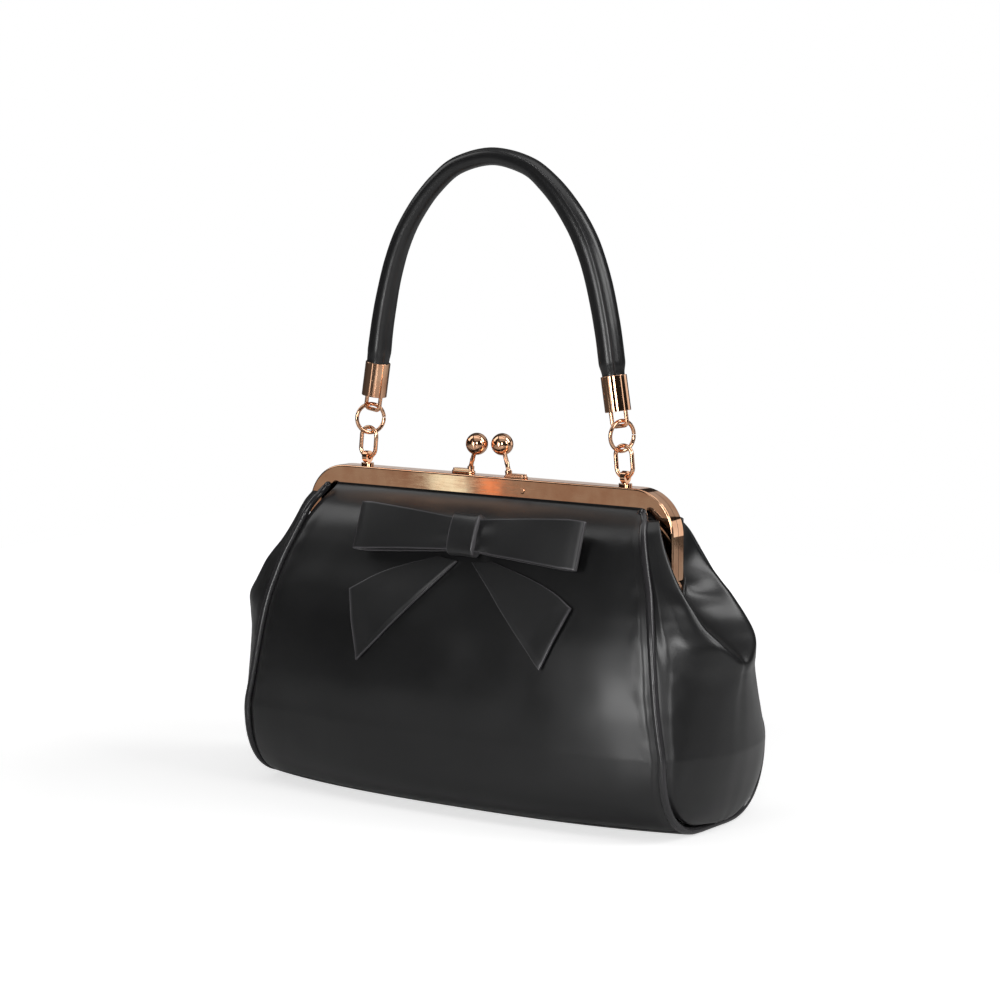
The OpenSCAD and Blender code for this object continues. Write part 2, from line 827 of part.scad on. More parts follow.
// The path with both ends drawn out, for cutting right through
function long_path(p) =
    [for (i = [0 : len(p) - 1])
        i == 0 ? p[0] - overrun * unit(p[1] - p[0])
        : i == len(p) - 1 ? p[i] + overrun * unit(p[i] - p[i - 1])
        : p[i]];

module handle_core() {
    color(leather_edge)
    tube(handle_path, core_radii, core_radii, [0, 1, 0], 10);
}

// Heights of the rows of the leather, as shares of the walls between their ends
lower_shares = [0, 0.06, 0.13, 0.22, 0.32, 0.45, 0.6, 0.78, 1];
upper_shares = [0, 0.17, 0.34, 0.5, 0.64, 0.76, 0.87, 0.95, 1];
panel_low = leather_t / 2;
channel_y = groove_out - sewn_gap - leather_t / 2;
seam_inset = welt_r + sewn_gap;
panel_columns = 18;
channel_mouth = band_low - sewn_gap;
flex_top = channel_mouth - 2 * sewn_gap;
// How late the upper leather turns in towards the frame's channel
pull_power = 6;

function mix(a, b, s) = a + (b - a) * s;
function panel_row(side, z, inset) =
    [for (j = [0 : panel_columns])
        let(u = -1 + 2 * j / panel_columns)
        [u * (seam_x(z) - inset), wall_y(side, z, panel_low, u), z]];
// Row of the upper leather, bent in towards the frame's channel
function flex_row(side, s) =
    let(z = mix(flex_z + sewn_gap, flex_top, s))
    let(row = panel_row(side, z, seam_inset))
    let(pull = pow(s, pull_power))
    [for (p = row)
        [mix(p[0], p[0] * (band_half + corner_reach) / row[panel_columns][0], pull),
            mix(p[1], side * channel_y, pull), z]];
function channel_row(side, z) =
    [for (j = [0 : panel_columns])
        [(-1 + 2 * j / panel_columns) * (band_half + corner_reach), side * channel_y, z]];

function turned(g, side) = side < 0 ? g : [for (row = g) [for (j = [len(row) - 1 : -1 : 0]) row[j]]];

function lower_panel(side) =
    [for (s = lower_shares) panel_row(side, mix(base_seam_z + sewn_gap / 2, flex_z, s), seam_inset)];
function upper_panel(side) = concat(
    [for (s = upper_shares) flex_row(side, s)],
    [channel_row(side, channel_mouth + edge_depth)]
);

module front_panel() {
    color(leather)
    sheet(turned(lower_panel(-1), -1), leather_t);
}

module rear_panel() {
    color(leather)
    sheet(turned(lower_panel(1), 1), leather_t);
}

module front_panel_flex() {
    color(leather)
    sheet(turned(upper_panel(-1), -1), leather_t);
}

module rear_panel_flex() {
    color(leather)
    sheet(turned(upper_panel(1), 1), leather_t);
}

// Rows of the base, from the rear seam round under the flat to the front seam
base_curve_shares = [1, 0.62, 0.34, 0.15, 0.04, 0];
function base_height(s) = panel_low + (base_seam_z - sewn_gap / 2 - panel_low) * s;
function base_rows() = concat(
    [for (s = base_curve_shares) panel_row(1, base_height(s), seam_inset)],
    [for (s = backwards(base_curve_shares)) panel_row(-1, base_height(s), seam_inset)]
);

module base_panel() {
    color(leather)
    sheet(base_rows(), leather_t);
}

module base_board() {
    inner_x = board_half_l - board_corner;
    inner_y = board_w / 2 - board_corner;
    color(board_grey)
    translate([0, (flat_rear - flat_front) / 2, leather_t + 2 * lining_gap])
    linear_extrude(board_t) {
        square([2 * board_half_l, 2 * inner_y], center = true);
        square([2 * inner_x, board_w], center = true);
        for (x = [-inner_x, inner_x], y = [-inner_y, inner_y])
            translate([x, y])
            circle(r = board_corner, $fn = fine_small);
    }
}

// End seam: front side down from the top, round the base and up the rear side
welt_upper_shares = [1, 0.93, 0.85, 0.72, 0.55, 0.35, 0.17, 0];
welt_lower_shares = [1, 0.86, 0.72, 0.58, 0.46, 0.36, 0.27, 0.19, 0.12, 0.065, 0.025, 0.005, 0];
welt_top = band_low - welt_drop;
function seam_point(side, z) = [seam_x(z), wall_y(side, z, welt_r, 1), z];
function welt_side(side, shares, low, high) =
    [for (s = shares) seam_point(side, mix(low, high, s))];
function backwards(p) = [for (i = [len(p) - 1 : -1 : 0]) p[i]];

module welt() {
    path = concat(
        welt_side(-1, welt_lower_shares, welt_r, flex_z),
        backwards(welt_side(1, welt_lower_shares, welt_r, flex_z))
    );
    color(leather_edge)
    tube(path, same(welt_r, len(path)), same(welt_r, len(path)), [1, 0, 0], 10);
}

module welt_flex(side) {
    path = welt_side(side, welt_upper_shares, flex_z + sewn_gap, welt_top);
    color(leather_edge)
    tube(path, same(welt_r, len(path)), same(welt_r, len(path)), [1, 0, 0], 10);
}

module right_welt() {
    welt();
}

module left_welt() {
    mirror([1, 0, 0])
    welt();
}

module right_welt_front_flex() {
    welt_flex(-1);
}

module right_welt_rear_flex() {
    welt_flex(1);
}

module left_welt_front_flex() {
    mirror([1, 0, 0])
    welt_flex(-1);
}

module left_welt_rear_flex() {
    mirror([1, 0, 0])
    welt_flex(1);
}

// Gusset: shares of the lip's reach, of its distance from the mid-plane and of the valley
gusset_z_shares = [0, 0.14, 0.3, 0.45, 0.62, 0.8, 0.92, 1, 1.1, 1.2, 1.315];
dome_shares = [0.08, 0.3, 0.44, 0.55, 0.68, 0.84, 0.95, 1, 0.9, 0.74, 0.56];
valley_shares = [0.1, 0.34, 0.5, 0.62, 0.74, 0.88, 0.96, 0.93, 0.62, 0.31, 0.03];
ridge_y_shares = [0.3, 0.42, 0.42, 0.4, 0.36, 0.28, 0.2, 0.22, 0.38, 0.53, 0.62];
dome_rows = table(gusset_z_shares, lip_z, dome_shares, lip_reach);
valley_rows = table(gusset_z_shares, lip_z, valley_shares, lip_reach);
ridge_rows = table(gusset_z_shares, lip_z, ridge_y_shares, 1);
// Shares of the ridge's reach and depth at which the shoulder beside the seam lies
shoulder_out_share = 0.62;
shoulder_in_share = 0.45;
gusset_low = 2 * welt_r + sewn_gap + leather_t / 2;
gusset_columns = 14;

// Place at share w across the gusset's row at height z
function gusset_row(z) =
    let(x = seam_x(z), lean = (flat_rear - flat_front) / 2 * max(0, 1 - z / lip_z))
    let(front = wall_y(-1, z, gusset_low, 1), rear = wall_y(1, z, gusset_low, 1))
    let(out = smooth_at(dome_rows, z), mid = smooth_at(valley_rows, z))
    let(ridge = smooth_at(ridge_rows, z))
    let(in_share = (1 - ridge) * shoulder_in_share, shoulder = x + out * shoulder_out_share)
    let(line = [[x, front, z], [shoulder, mix(front, lean, in_share), z],
        [x + out, mix(lean, front, ridge), z], [x + mid, lean, z],
        [x + out, mix(lean, rear, ridge), z], [shoulder, mix(rear, lean, in_share), z],
        [x, rear, z]])
    let(a = line[0] + seam_inset * unit(line[1] - line[0]))
    let(b = line[6] + seam_inset * unit(line[5] - line[6]))
    let(points = [a, line[1], line[2], line[3], line[4], line[5], b])
    [for (j = [0 : gusset_columns]) bend(points, 6 * j / gusset_columns)];

gusset_row_shares = [0, 0.025, 0.07, 0.13, 0.21, 0.31, 0.42, 0.53, 0.63, 0.71, 0.77, 0.83, 0.89, 0.95, 1];

module gusset() {
    g = [for (s = gusset_row_shares) gusset_row(mix(gusset_low, flex_z, s))];
    color(leather)
    sheet(g, leather_t);
}

module right_gusset() {
    gusset();
}

module left_gusset() {
    mirror([1, 0, 0])
    gusset();
}

// Fold of the gusset beside the frame's front or rear leg
fold_shares = [0, 0.14, 0.28, 0.44, 0.6, 0.76, 0.9, 1];
fold_ridge_shares = [0.56, 0.42, 0.3, 0.22, 0.16, 0.1, 0.05, 0];
fold_columns = 8;
// Height of the fold's end below the welt's, in welt radii, and places of its turn and ridge
fold_drop_share = 1.4;
fold_turn_share = 0.6;
fold_ridge_share = 0.42;
fold_top = welt_top - welt_r * fold_drop_share;
leg_skin = leg_gap + leather_t / 2;
// How far the fold bulges away from the leg before it ends
fold_room = 1;

// Where the fold ends, just inside the leg and the rounded corner
function fold_end(side, z) =
    let(arc = corner_r - channel_w - leg_skin, up = z - corner_z)
    let(in_corner = band_half + sqrt(max(0, arc * arc - up * up)))
    let(x = z < leg_low ? frame_half_w : z < corner_z ? leg_in_x : in_corner)
    [x, side * (half_out + leg_skin), z];

function fold_row(side, s) =
    let(z = mix(flex_z + 2 * sewn_gap, fold_top, s))
    let(a0 = seam_point(side, z), e = fold_end(side, z))
    let(reach_out = lip_reach * smooth_at(table(fold_shares, 1, fold_ridge_shares, 1), s))
    let(wrap = [mix(frame_half_w, e[0], fold_turn_share), e[1] + side * fold_room, z])
    let(ridge_x = (max(a0[0], wrap[0]) + a0[0]) / 2 + reach_out)
    let(ridge = [ridge_x, mix(a0[1], wrap[1], fold_ridge_share), z])
    let(a = a0 + seam_inset * unit(ridge - a0))
    let(points = [a, ridge, wrap, e])
    [for (j = [0 : fold_columns]) bend(points, 3 * j / fold_columns)];

module gusset_fold(side) {
    g = [for (s = fold_shares) fold_row(side, s)];
    color(leather)
    sheet(turned(g, side), leather_t);
}

module right_gusset_front_flex() {
    gusset_fold(-1);
}

module right_gusset_rear_flex() {
    gusset_fold(1);
}

module left_gusset_front_flex() {
    mirror([1, 0, 0])
    gusset_fold(-1);
}

module left_gusset_rear_flex() {
    mirror([1, 0, 0])
    gusset_fold(1);
}

// Lining: the leather's own surface moved inwards
lining_depth = leather_t / 2 + lining_gap + lining_t / 2;
lining_inset = seam_inset + welt_r + lining_gap;
lining_low = leather_t + board_t + 3 * lining_gap + lining_t / 2;
lining_columns = 10;

function lining_row(side, z) =
    [for (j = [0 : lining_columns])
        let(u = -1 + 2 * j / lining_columns)
        [u * (seam_x(z) - lining_inset), wall_y(side, z, lining_low, u, lining_depth), z]];
lining_shares = [0.01, 0.05, 0.13, 0.25, 0.42, 0.68, 1];

module lining_body() {
    span = flex_z - 4 * sewn_gap;
    g = concat(
        [for (s = backwards(lining_shares)) lining_row(1, mix(lining_low, span, s))],
        [for (s = lining_shares) lining_row(-1, mix(lining_low, span, s))]
    );
    color(fabric)
    sheet(g, lining_t);
}

lining_top_row = 7;
function lining_flex_grid(side) =
    let(g = shifted(upper_panel(side), side * lining_depth))
    [for (i = [0 : lining_top_row]) [for (j = [1 : panel_columns - 1]) g[i][j]]];

module lining_front_flex() {
    color(fabric)
    sheet(lining_flex_grid(-1), lining_t);
}

module lining_rear_flex() {
    color(fabric)
    sheet(lining_flex_grid(1), lining_t);
}

lining_end_shares = [0, 0.08, 0.2, 0.36, 0.54, 0.7, 0.82, 0.92, 1];
// Depth of the end lining behind the gusset, in depths of the other lining
end_depth_share = 1.3;

module lining_end() {
    low = gusset_low + lining_low;
    g = [for (s = lining_end_shares)
        let(row = gusset_row(mix(low, flex_z - sewn_gap, s)))
        [for (j = [1 : gusset_columns - 1]) row[j]]];
    color(fabric)
    sheet(shifted(g, -lining_depth * end_depth_share), lining_t);
}

module right_lining_end() {
    lining_end();
}

module left_lining_end() {
    mirror([1, 0, 0])
    lining_end();
}

// Bow, drawn on its own plane: X along it, Y up the panel, Z out of the panel
module on_bow() {
    out = wall_y(-1, bow_z, panel_low, 0) - leather_t / 2 - bow_gap;
    translate([bow_x, out, bow_z])
    rotate([90 - bow_tilt, 0, 0])
    children();
}

// Plan of a loop from the knot's back layer round the fold to its front layer
loop_run_shares = [0, 0.25, 0.5, 0.75, 0.93, 1, 0.93, 0.75, 0.5, 0.25, 0];
loop_out_shares = [0.2, 0.15, 0.12, 0.12, 0.2, 0.5, 0.8, 0.95, 1, 0.9, 0.75];
// Height of a loop where the knot pinches it, and how soon it opens to its full height
pinch_share = 0.75;
opening_share = 1.15;
module loop() {
    start = knot_half + sewn_gap;
    run = bow_half - start;
    points = [for (i = [0 : len(loop_run_shares) - 1])
        [start + run * loop_run_shares[i], 0, loop_d * loop_out_shares[i]]];
    n = 2 * (len(points) - 1);
    rows = 4;
    g = [for (k = [0 : rows])
        [for (i = [0 : n])
            let(p = bend(points, i / 2), share = (p[0] - start) / run)
            let(half = mix(knot_half_h * pinch_share, loop_h / 2, min(1, share * opening_share)))
            [p[0], mix(-half, half, k / rows), p[2]]]];
    color(leather)
    on_bow()
    translate([0, 0, bow_t / 2])
    sheet(g, bow_t);
}

module bow_right_loop() {
    loop();
}

module bow_left_loop() {
    translate([2 * bow_x, 0, 0])
    mirror([1, 0, 0])
    loop();
}

// Stations along the knot and its thickness at each
knot_run_shares = [0, 0.02, 0.1, 0.5, 0.9, 0.98, 1];
knot_size_shares = [0.86, 0.94, 1, 1, 1, 0.94, 0.86];
module bow_knot() {
    color(leather)
    on_bow()
    translate([0, 0, knot_half_d])
    tube([for (s = knot_run_shares) [mix(-knot_half, knot_half, s), 0, 0]],
        knot_size_shares * knot_half_h, knot_size_shares * knot_half_d, [0, 1, 0], 16);
}

// Tail lying on the front panel, from below the knot to its slanted end
tail_in_x_shares = [0.07, 0.3, 0.56, 0.84];
tail_in_z_shares = [0, 0.21, 0.45, 0.71];
tail_out_x_shares = [0.24, 0.56, 0.8, 1.02];
tail_out_z_shares = [-0.02, 0.06, 0.14, 0.25];
// Spare room under a tail, over its own thickness
tail_room_share = 1.15;
tail_top = bow_z - knot_half_h * cos(bow_tilt) - 4 * bow_gap;
tail_rows = 6;
tail_columns = 4;
module tail(side, drop) {
    lift = (leather_t / 2 + bow_gap + bow_t / 2) * tail_room_share;
    ends = len(tail_in_x_shares) - 1;
    inner = [for (i = [0 : ends]) [tail_in_x_shares[i], tail_in_z_shares[i]]];
    outer = [for (i = [0 : ends]) [tail_out_x_shares[i], tail_out_z_shares[i]]];
    g = [for (i = [0 : tail_rows])
        let(a = bend(inner, i * ends / tail_rows), b = bend(outer, i * ends / tail_rows))
        [for (k = [0 : tail_columns])
            let(p = mix(a, b, k / tail_columns))
            let(x = bow_x + side * tail_l * p[0], z = tail_top - (tail_l + drop) * p[1])
            [x, wall_y(-1, z, panel_low, min(1, abs(x) / seam_x(z))) - lift, z]]];
    color(leather)
    sheet(g, bow_t);
}

module bow_right_tail() {
    tail(1, 0);
}

module bow_left_tail() {
    tail(-1, left_tail_drop);
}

front_frame();
rear_frame();
left_hinge_pin();
right_hinge_pin();
front_edge_cord();
rear_edge_cord();
front_clasp_foot();
rear_clasp_foot();
front_ball();
rear_ball();
front_foot_rivet();
rear_foot_rivet();
left_post();
right_post();
left_link();
right_link();
left_ring();
right_ring();
left_bail();
right_bail();
left_ferrule();
right_ferrule();
handle_cover();
handle_core();
front_panel();
rear_panel();
front_panel_flex();
rear_panel_flex();
base_panel();
base_board();
left_welt();
right_welt();
left_welt_front_flex();
left_welt_rear_flex();
right_welt_front_flex();
right_welt_rear_flex();
left_gusset();
right_gusset();
left_gusset_front_flex();
left_gusset_rear_flex();
right_gusset_front_flex();
right_gusset_rear_flex();
lining_body();
lining_front_flex();
lining_rear_flex();
left_lining_end();
right_lining_end();
bow_left_loop();
bow_right_loop();
bow_knot();
bow_left_tail();
bow_right_tail();
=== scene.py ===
"""Looks of a structured leather frame handbag: leather shell, plated metal, bow and handle.

Lengths are millimetres until a point is placed; every mesh is stored in metres in the frame
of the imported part. X runs to the bag's right, -Y to the front, Z up; the base stands on Z = 0.
"""

import json
import logging
import math
from collections.abc import Callable, Sequence
from dataclasses import dataclass, field
from enum import Enum

import bmesh
import bpy
from mathutils import Matrix, Vector, noise

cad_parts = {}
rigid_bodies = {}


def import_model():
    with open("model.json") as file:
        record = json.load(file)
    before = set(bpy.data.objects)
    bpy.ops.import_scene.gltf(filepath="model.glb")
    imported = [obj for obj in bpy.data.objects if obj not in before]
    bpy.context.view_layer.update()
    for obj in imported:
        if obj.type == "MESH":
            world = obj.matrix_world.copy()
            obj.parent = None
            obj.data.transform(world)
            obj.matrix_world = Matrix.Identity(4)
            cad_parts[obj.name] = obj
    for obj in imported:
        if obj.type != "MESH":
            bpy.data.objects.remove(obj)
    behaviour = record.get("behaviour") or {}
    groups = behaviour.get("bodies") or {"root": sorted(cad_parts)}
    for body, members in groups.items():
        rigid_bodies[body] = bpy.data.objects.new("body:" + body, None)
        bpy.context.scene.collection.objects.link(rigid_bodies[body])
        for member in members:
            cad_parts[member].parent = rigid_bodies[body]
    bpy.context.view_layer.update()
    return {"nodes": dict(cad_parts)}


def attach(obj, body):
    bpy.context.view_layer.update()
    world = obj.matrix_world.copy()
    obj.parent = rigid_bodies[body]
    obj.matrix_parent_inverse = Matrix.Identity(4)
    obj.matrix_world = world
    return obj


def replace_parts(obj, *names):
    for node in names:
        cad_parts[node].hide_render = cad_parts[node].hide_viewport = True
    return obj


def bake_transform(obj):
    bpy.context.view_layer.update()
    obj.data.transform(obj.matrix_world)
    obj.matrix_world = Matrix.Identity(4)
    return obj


LOG = logging.getLogger("handbag")
MM = 0.001
Place = Callable[[float, float], Vector]
Wear = Callable[[float, float], float]

# Segments of a rounded edge, and the least angle in degrees between faces that is a cut edge
EDGE_STEPS = 3
CUT_ANGLE = 60


class Side(Enum):
    """Front or rear of the bag, as the sign of its depth."""

    FRONT = -1
    REAR = 1

    @property
    def half(self) -> str:
        """Body that this side's frame half belongs to."""
        return "front_half" if self is Side.FRONT else "rear_half"

    @property
    def word(self) -> str:
        """Plain word used in the names of pieces."""
        return "front" if self is Side.FRONT else "rear"


class End(Enum):
    """Left or right end of the bag, as the sign of its length."""

    LEFT = -1
    RIGHT = 1

    @property
    def word(self) -> str:
        """Plain word used in the names of pieces."""
        return "left" if self is End.LEFT else "right"


class Slot(Enum):
    """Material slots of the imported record."""

    LEATHER = "leather"
    WELT = "welt_leather"
    METAL = "rose_metal"
    LINING = "lining_fabric"
    BOARD = "board"
    CORD = "cord"


# Small tools


def linear(hex_colour: str) -> tuple[float, float, float, float]:
    """Turns an sRGB hex colour into linear RGBA.

    Args:
        hex_colour: Six hex digits with a leading #.

    Returns:
        Linear red, green and blue, and an alpha of 1.
    """
    parts = [int(hex_colour[i : i + 2], 16) / 255 for i in (1, 3, 5)]
    low = [v / 12.92 if v <= 0.04045 else ((v + 0.055) / 1.055) ** 2.4 for v in parts]
    return low[0], low[1], low[2], 1.0


def mix(a: float, b: float, share: float) -> float:
    """Value that lies at share between a and b."""
    return a + (b - a) * share


def ease(low: float, high: float, value: float) -> float:
    """Smooth step from 0 at low to 1 at high."""
    s = min(1.0, max(0.0, (value - low) / (high - low)))
    return s * s * (3 - 2 * s)


def ease_near(line: float, run: tuple[float, float], value: float) -> float:
    """Smooth step round a line, over a run given as its two ends measured from the line."""
    return ease(line + run[0], line + run[1], value)


def smooth_at(rows: Sequence[tuple[float, float]], place: float) -> float:
    """Value at a place on the smooth curve through the rows.

    Args:
        rows: Pairs of place and value, in rising order of place.
        place: Where the curve is read.

    Returns:
        The value of the cubic curve there.
    """
    last = len(rows) - 1
    i = 0
    while i < last - 1 and place >= rows[i + 1][0]:
        i += 1

    def rise(k: int) -> float:
        """Slope of the curve at row k."""
        a, b = max(0, k - 1), min(last, k + 1)
        return (rows[b][1] - rows[a][1]) / (rows[b][0] - rows[a][0])

    h = rows[i + 1][0] - rows[i][0]
    s = (place - rows[i][0]) / h
    s2, s3 = s * s, s * s * s
    return (
        rows[i][1] * (2 * s3 - 3 * s2 + 1)
        + h * rise(i) * (s3 - 2 * s2 + s)
        + rows[i + 1][1] * (3 * s2 - 2 * s3)
        + h * rise(i + 1) * (s3 - s2)
    )


def bend(points: Sequence[Vector], t: float, firm: Sequence[int] = (), grip: float = 1.0) -> Vector:
    """Point at t of the smooth curve through the points.

    Args:
        points: Points that the curve passes, one for each whole value of t.
        t: Place on the curve, from 0 to the number of spans.
        firm: Points where the curve turns more sharply.
        grip: How softly it turns there, 1 for as softly as elsewhere.

    Returns:
        The point there.
    """
    n = len(points)
    i = max(0, min(int(math.floor(t)), n - 2))
    s = t - i
    a, b = points[i], points[i + 1]
    ma = b - a if i == 0 else (b - points[i - 1]) / 2
    mb = b - a if i == n - 2 else (points[i + 2] - a) / 2
    if i in firm:
        ma = ma * grip
    if i + 1 in firm:
        mb = mb * grip
    s2, s3 = s * s, s * s * s
    return a * (2 * s3 - 3 * s2 + 1) + ma * (s3 - 2 * s2 + s) + b * (3 * s2 - 2 * s3) + mb * (s3 - s2)


def heading(points: Sequence[Vector], t: float, step: float = 0.02) -> Vector:
    """Direction at t of the smooth curve through the points."""
    spans = len(points) - 1
    return (bend(points, min(spans, t + step)) - bend(points, max(0, t - step))).normalized()


def table(
    keys: Sequence[float], key_size: float, values: Sequence[float], size: float
) -> list[tuple[float, float]]:
    """Rows of place and value from two lists of shares."""
    return [(k * key_size, v * size) for k, v in zip(keys, values)]


def ripple(p: Vector, wave: float, seed: float) -> float:
    """Smooth noise from -1 to 1 at a point in millimetres, with a wave length in millimetres."""
    return noise.noise(Vector((p.x / wave + seed, p.y / wave, p.z / wave)))


@dataclass(frozen=True)
class Grid:
    """A lofted sheet or tube made from one bmesh grid.

    Attributes:
        name: Name of the piece.
        rows: Cells along v.
        columns: Cells along u.
        closed: Whether u runs right round, as on a tube.
        capped: Whether the ends of a tube are filled.
        flip: Whether the faces are turned over.
    """

    name: str
    rows: int
    columns: int
    closed: bool = False
    capped: bool = False
    flip: bool = False

    def make(self, place: Place, wear: Wear | None = None) -> bpy.types.Object:
        """Builds the mesh with its points placed by a function.

        Args:
            place: Gives the point in millimetres at u and v, both from 0 to 1.
            wear: Gives the wear at u and v, kept as the attribute edge_wear_and_highlight; on the bow the
                pale colour it brings is a painted highlight.

        Returns:
            The linked object, with u and v as its UV map.
        """
        bm = bmesh.new()
        uv_layer = bm.loops.layers.uv.new("UVMap")
        wear_and_highlight_layer = bm.verts.layers.float.new("edge_wear_and_highlight")
        bmesh.ops.create_grid(
            bm, x_segments=self.columns, y_segments=self.rows, size=0.5, calc_uvs=True
        )
        for vertex in bm.verts:
            u, v = vertex.co.x + 0.5, vertex.co.y + 0.5
            vertex[wear_and_highlight_layer] = wear(u, v) if wear else 0.0
            for loop in vertex.link_loops:
                loop[uv_layer].uv = (u, v)
            vertex.co = place(u, v) * MM
        if self.closed:
            bmesh.ops.remove_doubles(bm, verts=bm.verts, dist=0.005 * MM)
        if self.capped:
            rim = [e for e in bm.edges if e.is_boundary]
            bmesh.ops.holes_fill(bm, edges=rim, sides=0)
        if self.flip:
            bmesh.ops.reverse_faces(bm, faces=bm.faces)
        if self.closed and self.capped:
            bmesh.ops.recalc_face_normals(bm, faces=bm.faces)
        return finished(self.name, bm)


def finished(name: str, bm: bmesh.types.BMesh) -> bpy.types.Object:
    """Turns a bmesh into a linked object at the origin, shaded smooth.

    Args:
        name: Name of the piece.
        bm: The mesh, which is freed.

    Returns:
        The new object.
    """
    mesh = bpy.data.meshes.new(name)
    for face in bm.faces:
        face.smooth = True
    bm.to_mesh(mesh)
    bm.free()
    piece = bpy.data.objects.new(name, mesh)
    bpy.context.scene.collection.objects.link(piece)
    return piece


def thicken(piece: bpy.types.Object, thickness: float, offset: float = 0.0, rim: float = 0.0) -> None:
    """Gives a sheet its thickness, and rounds its cut edge.

    Args:
        piece: The sheet.
        thickness: Thickness in millimetres.
        offset: -1 keeps the sheet as the outer face, 0 as the middle.
        rim: Radius of the rounded cut edge in millimetres, or 0.
    """
    wall = piece.modifiers.new("thickness", "SOLIDIFY")
    wall.thickness = thickness * MM
    wall.offset = offset
    wall.use_even_offset = False
    if rim:
        edge = piece.modifiers.new("cut edge", "BEVEL")
        edge.width = rim * MM
        edge.segments = EDGE_STEPS
        edge.limit_method = "ANGLE"
        edge.angle_limit = math.radians(CUT_ANGLE)


def add_node(
    tree: bpy.types.NodeTree,
    kind: str,
    props: dict[str, object] | None = None,
    values: dict[str | int, object] | None = None,
    links: dict[str | int, bpy.types.NodeSocket] | None = None,
    stops: Sequence[tuple[float, str]] = (),
) -> bpy.types.Node:
    """Adds one node with its settings and links.

    Args:
        tree: Node tree that gets the node.
        kind: Node type.
        props: Attributes of the node itself.
        values: Values set on its input sockets.
        links: Output sockets joined to its input sockets.
        stops: Places and sRGB hex colours, where it is a colour ramp.

    Returns:
        The node.
    """
    node = tree.nodes.new(kind)
    for key, value in (props or {}).items():
        setattr(node, key, value)
    for key, value in (values or {}).items():
        node.inputs[key].default_value = value
    for key, socket in (links or {}).items():
        tree.links.new(socket, node.inputs[key])
    if stops:
        elements = node.color_ramp.elements
        while len(elements) < len(stops):
            elements.new(0.5)
        for element, (place, colour) in zip(elements, stops):
            element.position = place
            element.color = linear(colour)
    return node


def blank(name: str) -> tuple[bpy.types.Material, bpy.types.NodeTree, bpy.types.Node]:
    """Makes a material with only its output node.

    Args:
        name: Name of the material.

    Returns:
        The material, its node tree and its output node.
    """
    material = bpy.data.materials.new(name)
    material.use_nodes = True
    tree = material.node_tree
    tree.nodes.clear()
    return material, tree, tree.nodes.new("ShaderNodeOutputMaterial")


# Finishes


@dataclass(frozen=True)
class Finish:
    """A real material with the way its surface was made.

    Attributes:
        name: Name of the material.
    """

    name: str

    def make(self) -> bpy.types.Material:
        """Builds the material."""
        material, tree, out = blank(self.name)
        place = add_node(tree, "ShaderNodeTexCoord").outputs["Object"]
        tree.links.new(self.surface(tree, place), out.inputs["Surface"])
        return material

    def surface(self, tree: bpy.types.NodeTree, place: bpy.types.NodeSocket) -> bpy.types.NodeSocket:
        """Adds the shader with its patterns, each finish its own.

        Args:
            tree: Node tree of the material.
            place: Object coordinates.

        Returns:
            The shader's output.
        """
        raise NotImplementedError


